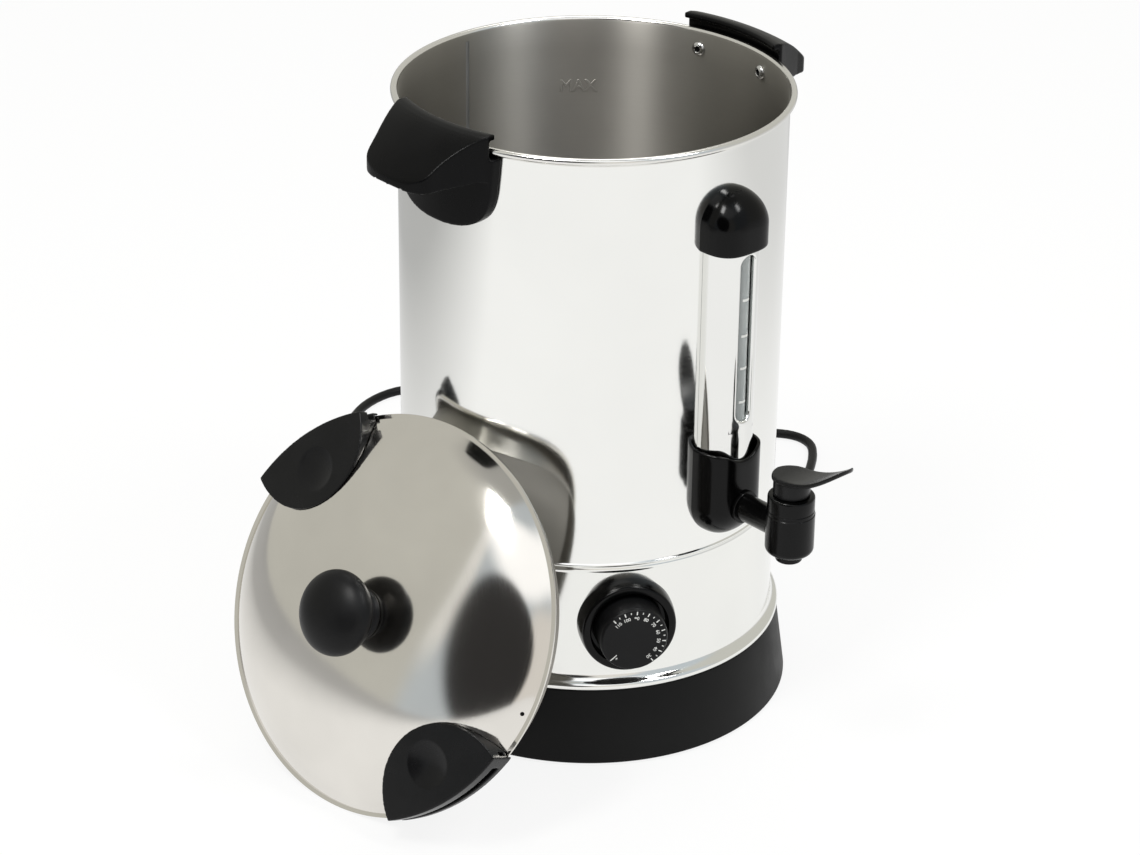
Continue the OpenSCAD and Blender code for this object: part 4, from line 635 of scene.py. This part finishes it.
def make_cap():
    n = 64
    low, straight, half_w, depth = 318.1, 14.0, 20.4, 19.5
    mid = low + straight
    rows = round_end(mid, half_w, depth, n, 1)
    for z in (mid - 4, mid - 8, low + 1.8, low + 1.0):
        rows.append([(x, h, z) for x, h in cover_outline(half_w, depth, n)])
    for k, dz in ((0.15, 0.4), (0.45, 0.12), (0.9, 0.0), (1.6, 0.0), (1.8, 0.4), (1.8, 9.0)):
        rows.append([(x, h, low + dz) for x, h in cover_outline(half_w - k, depth - k, n)])
    return piece(loft_cover("gauge_cap", rows, [GLOSS]), "urn", "gloss_black", "gauge_top_cap")


def scallop_z(x, top):
    """Height of the upper edge of the housing: a shallow dip at the front."""
    half_w, half_dip = 18.0, 2.75
    return top - half_dip * (1 + math.cos(math.pi * x / half_w)) if abs(x) < half_w else top


def make_housing():
    n = 80
    low, half_w, depth, top = TAP_Z - 22.5, 20.6, 19.9, TAP_Z + 35.0
    mid = low + half_w
    rows = round_end(mid, half_w, depth, n, -1)
    outer = cover_outline(half_w, depth, n)
    for f in (0.25, 0.5, 0.75, 0.9, 1.0):
        rows.append([(x, h, mid + (scallop_z(x, top) - 1.2 - mid) * f) for x, h in outer])
    for k, dz in ((0.12, -0.5), (0.5, -0.1), (1.0, 0.0), (1.7, 0.0), (2.0, -0.4), (2.0, -14.0)):
        rows.append([(x, h, scallop_z(x, top) + dz) for x, h in cover_outline(half_w - k, depth - k, n)])
    return piece(loft_cover("tap_cover", rows, [GLOSS]), "urn", "gloss_black", "tap_housing")


make_cap()
make_housing()


# Gauge cover with its slot

def make_gauge_cover():
    axis_h, r = -0.4, 18.0
    z_lo, z_hi = TAP_Z + 16.0, 336.0
    slot_top, slot_l, slot_w = 316.1, 102.0, 11.4
    s0, s1 = slot_top - slot_l + slot_w / 2, slot_top - slot_w / 2
    w1, end_l = 10.0, 12.0
    p_lo, p_hi = s0 - end_l, s1 + end_l

    def on(s, z, inset=0.0):
        a = s / r
        return ((r - inset) * math.sin(a), -(TANK_R + axis_h + (r - inset) * math.cos(a)), z)

    verts, faces = [], []

    def grid(us, zs):
        base = len(verts)
        for z in zs:
            for u in us:
                verts.append(on(u, z))
        n = len(us)
        for j in range(len(zs) - 1):
            for i in range(n - 1):
                k = base + j * n + i
                faces.append((k, k + 1, k + n + 1, k + n))

    edge = r * math.radians(93.0)
    side = [w1 + (edge - w1) * i / 24 for i in range(25)]
    tall = [z_lo, p_lo] + [p_lo + (p_hi - p_lo) * i / 16 for i in range(1, 16)] + [p_hi, z_hi]
    grid(side, tall)
    grid([-u for u in side], tall)
    middle = [-w1 + 2 * w1 * i / 12 for i in range(13)]
    grid(middle, [z_lo, p_lo])
    grid(middle, [p_hi, z_hi])
    ring = []
    half = slot_w / 2
    for i in range(17):
        ring.append((half, s0 + (s1 - s0) * i / 16, 1, 0))
    for i in range(1, 24):
        a = math.pi * i / 24
        ring.append((half * math.cos(a), s1 + half * math.sin(a), 0, a))
    for i in range(17):
        ring.append((-half, s1 - (s1 - s0) * i / 16, 1, 0))
    for i in range(1, 24):
        a = math.pi + math.pi * i / 24
        ring.append((half * math.cos(a), s0 + half * math.sin(a), 0, a))

    def outer_point(u, z, flat, a):
        if flat:
            return (math.copysign(w1, u), z)
        c, s = math.cos(a), math.sin(a)
        k = min(w1 / abs(c) if abs(c) > 1e-6 else 1e9, end_l / abs(s) if abs(s) > 1e-6 else 1e9)
        return (c * k, (s1 if s > 0 else s0) + s * k)

    def between(q):
        u, z = outer_point(*q)
        return (q[0] * 0.45 + u * 0.55, q[1] * 0.45 + z * 0.55, 0.0)

    loops = [[(*outer_point(*q), 0.0) for q in ring], [between(q) for q in ring]]

    def grown(q, g):
        u, z, flat, a = q
        if flat:
            return (u + math.copysign(g, u), z)
        return (u + g * math.cos(a), z + g * math.sin(a))

    for g, inset in ((1.5, 0.0), (0.85, 0.1), (0.38, 0.38), (0.1, 0.85), (0.0, 1.4), (0.0, 2.6), (0.3, 3.0)):
        loops.append([(*grown(q, g), inset) for q in ring])
    base = len(verts)
    for loop in loops:
        for u, z, inset in loop:
            verts.append(on(u, z, inset))
    n = len(ring)
    for j in range(len(loops) - 1):
        for i in range(n):
            k = (i + 1) % n
            row, above = base + j * n, base + (j + 1) * n
            faces.append((row + i, row + k, above + k, above + i))
    ob = mesh_object("gauge_shield", verts, faces, [COVER_STEEL], None, 50.0)
    return piece(ob, "urn", "polished_steel", "gauge_cover")


make_gauge_cover()


def make_gauge_marks():
    """White level marks on the front of the glass tube."""
    verts, faces = [], []
    r = 4.46
    for z in (289.0, 267.0, 247.0, 226.0):
        base = len(verts)
        n = 12
        for i in range(n + 1):
            a = math.radians(-34 + 68 * i / n)
            for dz in (-0.75, 0.75):
                verts.append((r * math.sin(a), -GLASS_AXIS - r * math.cos(a), z + dz))
        for i in range(n):
            faces.append((base + 2 * i, base + 2 * i + 2, base + 2 * i + 3, base + 2 * i + 1))
    return piece(mesh_object("gauge_marks", verts, faces, [MARK]), "urn", "white_rubber")


make_gauge_marks()


# Tap

def at_tap(z=0.0):
    return Matrix.Translation((0, -TAP_Y, z))


def make_tap():
    low, top = TAP_Z - 13.7, TAP_Z + 13.7
    body = [(10.5, 157.0), (10.5, top), (13.3, top), (13.6, top - 0.4), (13.6, top - 2.2),
            (13.95, top - 2.6), (13.95, low + 4.5)]
    body += arc(9.95, low + 4.0, 4.0, 0, -82, 10) + [(9.6, low), (7.75, low)]
    ob = lathe("tap_barrel", body, [TAP_BLACK], 96, None, at_tap())
    lip = [(5.0, low - 4.9), (5.3, low - 5.0), (7.2, low - 5.0), (7.7, low - 4.4), (7.7, low + 0.4)]
    spout = [(5.0, 150.0)] + rounded(lip, 0.3, 3)
    spout_ob = lathe("tap_nozzle", spout, [TAP_BLACK], 72, None, at_tap())
    pipe = [(5.0, -14.0), (7.7, -14.0), (8.0, -13.6), (8.0, 20.0), (9.6, 20.0), (9.8, 20.2), (9.8, 21.6),
            (9.5, 21.9), (8.0, 22.0), (8.0, 44.6), (8.3, 45.4), (9.4, 46.2)]
    pipe_ob = lathe("tap_shank", pipe, [TAP_BLACK], 72, None, outward(0, TANK_R, TAP_Z))
    pipe_ob.parent = ob
    piece(ob, "urn", "gloss_black", "tap_body")
    piece(spout_ob, "urn", "gloss_black", "tap_spout")
    bz, bt = top, top + 9.3
    collar = [(3.1, bt), (13.5, bt), (13.5, bz), (10.4, bz)]
    ring = [(3.1, bt - 2.2)] + rounded(collar, [0, 1.8, 0.5, 0], 6)
    bonnet = lathe("tap_collar", ring, [TAP_BLACK], 96, None, at_tap())
    piece(bonnet, "urn", "gloss_black", "tap_bonnet")


make_tap()


def make_lever():
    """Neck and curved paddle of the tap lever."""
    neck_z, lever_z, t = 184.1, 196.1, 3.0
    half_w, length, rise, disc = 12.5, 42.0, 20.0, 11.7
    neck = rounded([(3.6, neck_z), (10.6, neck_z), (10.6, lever_z - 2.6)], 0.5, 3)
    verts, faces, _ = lathe_data(neck, 64)
    verts = [(v[0], v[1] - TAP_Y, v[2]) for v in verts]

    def width(s):
        if s < 0:
            return math.sqrt(max(0.0, disc * disc - s * s))
        if s < length - 16:
            return disc + (half_w - disc) * s / (length - 16)
        return half_w * math.sqrt(max(0.0, 1 - ((s - length + 16) / 16) ** 2))

    def round_over(d, edge, drop):
        """How far a surface falls at a distance from its rounded edge."""
        return 0.0 if d > edge else drop * (1 - math.sqrt(max(0.0, 1 - (1 - d / edge) ** 2)))

    def under(s):
        return lever_z - t + rise * (max(0.0, s + 4) / (length + 4)) ** 2

    stations = [-disc * math.cos(math.pi / 2 * i / 14) for i in range(15)] + \
        [length * math.sin(math.pi / 2 * i / 26) for i in range(1, 27)]
    base = len(verts)
    cols = 18
    section = 2 * (cols + 1)
    for s in stations:
        w = max(0.05, width(s))
        edge = min(1.2, w)
        for k in range(cols + 1):
            u = -math.cos(math.pi * k / cols)
            lip = max(round_over((1 - abs(u)) * w, edge, 1.3), round_over(length - s, 1.5, 1.0))
            dish = 0.5 * max(0.0, min(1.0, (s - 8) / 14)) * (1 - u * u)
            verts.append((u * w, -TAP_Y - s, under(s) + t - lip - dish))
        for k in range(cols, -1, -1):
            u = -math.cos(math.pi * k / cols)
            verts.append((u * w, -TAP_Y - s, under(s) + round_over((1 - abs(u)) * w, edge, 1.3)))
    for j in range(len(stations) - 1):
        row, after = base + j * section, base + (j + 1) * section
        for k in range(section):
            n = (k + 1) % section
            faces.append((row + k, row + n, after + n, after + k))
    ob = mesh_object("tap_paddle", verts, faces, [LEVER_BLACK], None, 45.0)
    return piece(ob, "lever", "gloss_black", "tap_lever")


make_lever()


# Temperature dial

def make_dial():
    base = outward(DIAL_AZ, TANK_R, DIAL_Z)
    bezel = rounded([(28.5, -4.2), (28.5, 2.5), (27.4, 9.5), (23.0, 9.5), (22.5, 8.4), (22.5, 3.5),
                     (4.0, 3.5)], [0, 3, 1.8, 1.2, 0.8, 0.5, 0], 6)
    ob = lathe("dial_ring", bezel, [GLOSS], 128, None, base)
    piece(ob, "urn", "gloss_black", "dial_bezel")
    knob = rounded([(17.6, 5.0), (17.6, 4.3), (20.1, 4.3), (20.3, 5.2), (19.8, 20.6), (18.9, 22.0),
                    (12.0, 22.0), (0.0, 22.0)], [0, 0.3, 0.4, 1, 1.6, 1.0, 0, 0], 6)
    grip = lathe("dial_grip", knob, [KNOB_BLACK], 128, None, base)
    piece(grip, "dial", "black_plastic", "dial_knob")
    verts, faces = [], []

    def bar(angle, r0, r1, w):
        a = math.radians(angle)
        u, v = Vector((math.cos(a), math.sin(a), 0)), Vector((-math.sin(a), math.cos(a), 0))
        k = len(verts)
        for r, t in ((r0, -w), (r1, -w), (r1, w), (r0, w)):
            verts.append(tuple(base @ (u * r + v * t + Vector((0, 0, DIAL_PRINT_H)))))
        faces.append((k, k + 1, k + 2, k + 3))

    for i in range(17):
        angle = DIAL_FIRST_DEG - DIAL_SWEEP_DEG * i / 16
        if i % 2 == 0:
            bar(angle, 16.4, 18.6, 0.33)
        else:
            bar(angle, 17.0, 18.2, 0.24)
    bar(DIAL_OFF_DEG, 13.6, 18.6, 0.30)
    bar(DIAL_OFF_DEG + 6.0, 14.6, 15.9, 0.25)
    ticks = mesh_object("dial_ticks", verts, faces, [MARK])
    piece(ticks, "dial", "white_rubber")
    for i in range(9):
        angle = DIAL_FIRST_DEG - DIAL_SWEEP_DEG * i / 8
        number(str(110 - 10 * i), base, angle, 14.1, 2.9)


def number(text, base, angle, radius, size):
    """A number of the scale, upright toward the rim of the dial."""
    me = text_mesh("num_" + text, text, size, offset=0.03)
    a = math.radians(angle)
    m = base @ Matrix.Translation((radius * math.cos(a), radius * math.sin(a), DIAL_PRINT_H)) \
        @ Matrix.Rotation(a - math.pi / 2, 4, "Z")
    me.transform(Matrix.Scale(MM, 4) @ m)
    piece(text_object("dial_number_" + text, me, MARK), "dial", "white_rubber")


make_dial()


# Handles and lid lugs: the solids with their edges softened

SOFT_VOXEL = 0.0005


def softened(name, node, passes, material, body):
    """A copy of a solid's mesh in small even cells, smoothed a number of times."""
    me = nodes[node].data.copy()
    ob = bpy.data.objects.new(name, me)
    scene.collection.objects.link(ob)
    rem = ob.modifiers.new("remesh", "REMESH")
    rem.mode = "VOXEL"
    rem.voxel_size = SOFT_VOXEL
    sm = ob.modifiers.new("smooth", "SMOOTH")
    sm.factor = 0.5
    sm.iterations = passes
    dg = bpy.context.evaluated_depsgraph_get()
    done = bpy.data.meshes.new_from_object(ob.evaluated_get(dg))
    ob.modifiers.clear()
    ob.data = done
    done.materials.clear()
    done.materials.append(material)
    done.polygons.foreach_set("use_smooth", [True] * len(done.polygons))
    return piece(ob, body, "black_plastic", node)


softened("grip_left", "handle_left", 16, SATIN, "urn")
softened("grip_right", "handle_right", 16, SATIN, "urn")
softened("lug_upper", "lid_lug_b", 6, LUG_BLACK, "lid")
softened("lug_lower", "lid_lug_a", 6, LUG_BLACK, "lid")


def make_screws():
    """Domed screw heads inside the tank; the shallow recess in each is painted near-black as shade."""
    profile = [(0.001, -0.7), (1.5, -0.8), (1.75, -1.75), (2.2, -2.05), (3.0, -1.85), (3.9, -1.2),
               (4.35, -0.5), (4.4, -0.1)]
    verts, faces, slots = [], [], []
    for az in (-90.0, 90.0):
        for side in (-13.5, 13.5):
            # The two innermost bands of the profile take the painted recess shade.
            v, f, sl = lathe_data(profile, 40, [1, 1, 0, 0, 0, 0, 0])
            m = outward(az + side, TANK_IN_R, RIM_Z - 12.0)
            base = len(verts)
            verts += [tuple(m @ Vector(p)) for p in v]
            faces += [tuple(base + k for k in q) for q in f]
            slots += sl
    ob = mesh_object("handle_screw_heads", verts, faces, [BRIGHT, RECESS_PAINTED_SHADE], slots)
    return piece(ob, "urn", "bright_steel", "handle_screws")


make_screws()


# Lid

def dome_z(r):
    u = min(1.0, r / DOME_R)
    return 0.5 + (DOME_RISE - 0.5) * (1 - 0.65 * u * u - 0.35 * u ** 8)


def make_lid():
    radii = [DOME_R * i / 60 for i in range(1, 60)]
    outer = [(0.001, DOME_RISE)] + [(r, dome_z(r)) for r in radii] + [(DOME_R, 0.62)]
    wire_r = 1.6
    rim = arc(LID_R - wire_r, 0.0, wire_r, 25, -150, 16)
    under = [(DOME_R, -0.5)] + [(r, dome_z(r) - 1.0) for r in reversed(radii)]
    profile = outer + rim + under + [(0.001, DOME_RISE - 1.0)]
    slots = [0] * (len(outer) + len(rim) - 1) + [1] * (len(under) + 1)
    ob = lathe("lid_dome", profile, [LID_STEEL, INNER_STEEL_SHADED], 256, slots[:len(profile) - 1], LID, 30.0)
    piece(ob, "lid", "polished_steel", "lid_shell")
    foot = DOME_RISE + 0.1
    ball_z, half = foot + 21.5, 12.5
    bell = [(14.2, 0.0), (14.9, 0.5), (15.0, 1.4), (14.2, 2.9), (12.9, 4.2), (12.1, 5.8), (12.0, 7.6),
            (12.1, 10.0)]
    stem = [(0.001, foot)] + [(p.x, foot + p.y) for p in smooth_route([Vector(p) for p in bell], 5)]
    cap = [(24.5 * math.cos(math.radians(t)), ball_z + half * math.sin(math.radians(t)))
           for t in range(-59, 90, 3)]
    knob = lathe("lid_grip", stem + cap + [(0.001, ball_z + half)], [KNOB_BLACK], 96, None, LID, 60.0)
    piece(knob, "lid", "black_plastic", "lid_knob")
    vent_r = 110.1
    place = LID @ Matrix.Rotation(math.radians(-11.0), 4, "Z") \
        @ Matrix.Translation((vent_r, 0, dome_z(vent_r))) @ Matrix.Rotation(math.radians(41.7), 4, "Y")
    # Painted shade: a flat near-black disc on the dome stands in for the dark inside of the vent hole.
    vent = lathe("lid_vent", [(0.001, 0.05), (1.1, 0.05), (1.3, -0.05)], [RECESS_PAINTED_SHADE], 32, None, place)
    piece(vent, "lid", "black_plastic")


make_lid()


# Studio: floor, lights and surroundings

def make_stage():
    """White floor, dimmer in reflections with distance, that keeps the shadow."""
    me = bpy.data.meshes.new("floor")
    s = 6.0
    me.from_pydata([(-s, -s, 0), (s, -s, 0), (s, s, 0), (-s, s, 0)], [], [(0, 1, 2, 3)])
    floor = bpy.data.objects.new("floor", me)
    scene.collection.objects.link(floor)
    m = Mat("floor_paper")
    m.set(Base_Color=(0.86, 0.86, 0.85, 1), Roughness=0.9, Specular_IOR_Level=0.1)
    out = m.tree.nodes["Material Output"]
    path = m.add("ShaderNodeLightPath")
    white = m.add("ShaderNodeEmission")
    white.inputs["Color"].default_value = (1, 1, 1, 1)
    place = m.add("ShaderNodeTexCoord")

    def fade(direction, lo, hi, least):
        n = m.add("ShaderNodeVectorMath", operation="DOT_PRODUCT")
        m.link(place.outputs["Object"], n.inputs[0])
        n.inputs[1].default_value = direction
        return m.remap(n.outputs["Value"], 1.0, least, (lo, hi))

    shade_of = m.add("ShaderNodeMath", operation="MULTIPLY")
    m.link(fade((-0.102, 0.940, 0.0), 0.20, 0.66, 0.42), shade_of.inputs[0])
    m.link(fade((0.994, -0.006, 0.0), 0.30, 0.80, 0.70), shade_of.inputs[1])
    level = m.add("ShaderNodeMath", operation="MAXIMUM")
    m.link(path.outputs["Is Camera Ray"], level.inputs[0])
    m.link(shade_of.outputs[0], level.inputs[1])
    m.link(level.outputs[0], white.inputs["Strength"])
    seen = m.add("ShaderNodeMath", operation="MAXIMUM")
    m.link(path.outputs["Is Camera Ray"], seen.inputs[0])
    m.link(path.outputs["Is Glossy Ray"], seen.inputs[1])
    both = m.add("ShaderNodeMath", operation="MAXIMUM")
    m.link(seen.outputs[0], both.inputs[0])
    m.link(path.outputs["Is Transmission Ray"], both.inputs[1])
    part = m.add("ShaderNodeMath", operation="MULTIPLY")
    part.inputs[1].default_value = 0.86
    m.link(both.outputs[0], part.inputs[0])
    mix = m.add("ShaderNodeMixShader")
    m.link(part.outputs[0], mix.inputs["Fac"])
    m.link(m.bsdf.outputs["BSDF"], mix.inputs[1])
    m.link(white.outputs["Emission"], mix.inputs[2])
    m.link(mix.outputs["Shader"], out.inputs["Surface"])
    me.materials.append(m.m)


def make_world():
    """Grey studio walls with a bright panel, a low pale one, a dark doorway and a pale strip."""
    w = bpy.data.worlds.new("studio")
    scene.world = w
    w.use_nodes = True
    t = w.node_tree

    def new(kind, **props):
        n = t.nodes.new(kind)
        for k, v in props.items():
            setattr(n, k, v)
        return n

    def maths(op, a, b):
        n = new("ShaderNodeMath", operation=op)
        for i, v in enumerate((a, b)):
            if isinstance(v, (int, float)):
                n.inputs[i].default_value = v
            else:
                t.links.new(v, n.inputs[i])
        return n.outputs[0]

    def step(value, lo, hi, at_lo, at_hi):
        n = new("ShaderNodeMapRange", interpolation_type="SMOOTHSTEP")
        for k, v in zip(("From Min", "From Max", "To Min", "To Max"), (lo, hi, at_lo, at_hi)):
            n.inputs[k].default_value = v
        t.links.new(value, n.inputs["Value"])
        return n.outputs["Result"]

    def blend(fac, under, over):
        n = new("ShaderNodeMix", data_type="RGBA")
        t.links.new(fac, n.inputs[0])
        for i, v in ((6, under), (7, over)):
            if isinstance(v, tuple):
                n.inputs[i].default_value = (*v, 1)
            else:
                t.links.new(v, n.inputs[i])
        return n.outputs[2]

    ray = new("ShaderNodeTexCoord").outputs["Generated"]

    def along(vec):
        n = new("ShaderNodeVectorMath", operation="DOT_PRODUCT")
        t.links.new(ray, n.inputs[0])
        n.inputs[1].default_value = vec
        return n.outputs["Value"]

    def toward(az, el):
        return Vector(cam_dir(az, el, 1.0, 0.0)).normalized()

    def spot(az, el, half_w, half_h, soft):
        """1 inside an ellipse on the sky, 0 outside."""
        mid = toward(az, el)
        side = Vector((0, 0, 1)).cross(mid).normalized()
        a = maths("DIVIDE", along(side), math.sin(math.radians(half_w)))
        b = maths("DIVIDE", along(mid.cross(side).normalized()), math.sin(math.radians(half_h)))
        d = maths("ADD", maths("MULTIPLY", a, a), maths("MULTIPLY", b, b))
        back = maths("MULTIPLY", maths("LESS_THAN", along(mid), 0.0), 9.0)
        return step(maths("ADD", d, back), 1 - soft, 1 + soft, 1.0, 0.0)

    height = along((0, 0, 1))
    edge = toward(-57, 16).cross(toward(-40, 58)).normalized()
    across = along(edge if edge.dot(toward(0, 20)) > 0 else -edge)
    ahead = step(along(toward(0, 10)), 0.1, 0.4, 0.0, 1.0)
    front = maths("MULTIPLY", step(across, -0.05, 0.02, 0.0, 1.0), ahead)
    walls = blend(step(height, 0.86, 0.98, 0.0, 1.0), (0.62, 0.615, 0.57), (0.44, 0.44, 0.42))
    walls = blend(front, walls, (0.58, 0.63, 0.67))
    ends = maths("MULTIPLY", step(height, 0.10, 0.30, 0.0, 1.0),
                 step(along(toward(-48, 38)), 0.80, 0.88, 0.0, 1.0))
    strip = maths("MULTIPLY", step(maths("ABSOLUTE", across, 0.0), 0.015, 0.05, 1.0, 0.0), ends)
    walls = blend(strip, walls, (0.92, 0.91, 0.88))
    walls = blend(spot(10, 8, 22, 26, 0.4), walls, (0.84, 0.81, 0.77))
    walls = blend(spot(-4, 52, 27, 15, 0.5), walls, (1.35, 1.36, 1.38))
    walls = blend(spot(-25, 17, 28, 23, 0.12), walls, (0.035, 0.034, 0.034))
    bg = t.nodes["Background"]
    t.links.new(walls, bg.inputs["Color"])
    bg.inputs["Strength"].default_value = 1.0
    seen = new("ShaderNodeBackground")
    seen.inputs["Color"].default_value = (1, 1, 1, 1)
    seen.inputs["Strength"].default_value = 1.0
    path = new("ShaderNodeLightPath")
    mix = new("ShaderNodeMixShader")
    t.links.new(path.outputs["Is Camera Ray"], mix.inputs["Fac"])
    t.links.new(bg.outputs["Background"], mix.inputs[1])
    t.links.new(seen.outputs["Background"], mix.inputs[2])
    t.links.new(mix.outputs["Shader"], t.nodes["World Output"].inputs["Surface"])


LAMP_FAR = 2.2
LAMP_AIM = Vector((0, 0, 0.2))
CAMERA_AZ = 42.6


def area(name, place, size, power, color=(1, 1, 1), size_y=None):
    d = bpy.data.lights.new(name, "AREA")
    d.energy = power
    d.color = color
    d.size = size
    if size_y:
        d.shape = "RECTANGLE"
        d.size_y = size_y
    ob = bpy.data.objects.new(name, d)
    scene.collection.objects.link(ob)
    ob.location = place
    ob.rotation_euler = (LAMP_AIM - Vector(place)).to_track_quat("-Z", "Y").to_euler()
    return ob


def cam_dir(az, el, dist, z0=0.2):
    """A place at an azimuth from the camera side, plus to the right, at a height angle."""
    a = math.radians(az)
    x, y = math.sin(a) * math.cos(math.radians(el)), -math.cos(a) * math.cos(math.radians(el))
    t = math.radians(CAMERA_AZ)
    return (dist * (x * math.cos(t) + y * math.sin(t)), dist * (-x * math.sin(t) + y * math.cos(t)),
            z0 + dist * math.sin(math.radians(el)))


make_stage()
make_world()
area("key_left", cam_dir(-36, 58, LAMP_FAR), 0.42, 22, (1.0, 0.995, 0.98), 0.7)
area("key_right", cam_dir(60, 54, LAMP_FAR), 0.30, 13, (1.0, 1.0, 1.0), 0.7)
area("back_top", cam_dir(176, 66, LAMP_FAR), 1.0, 8)
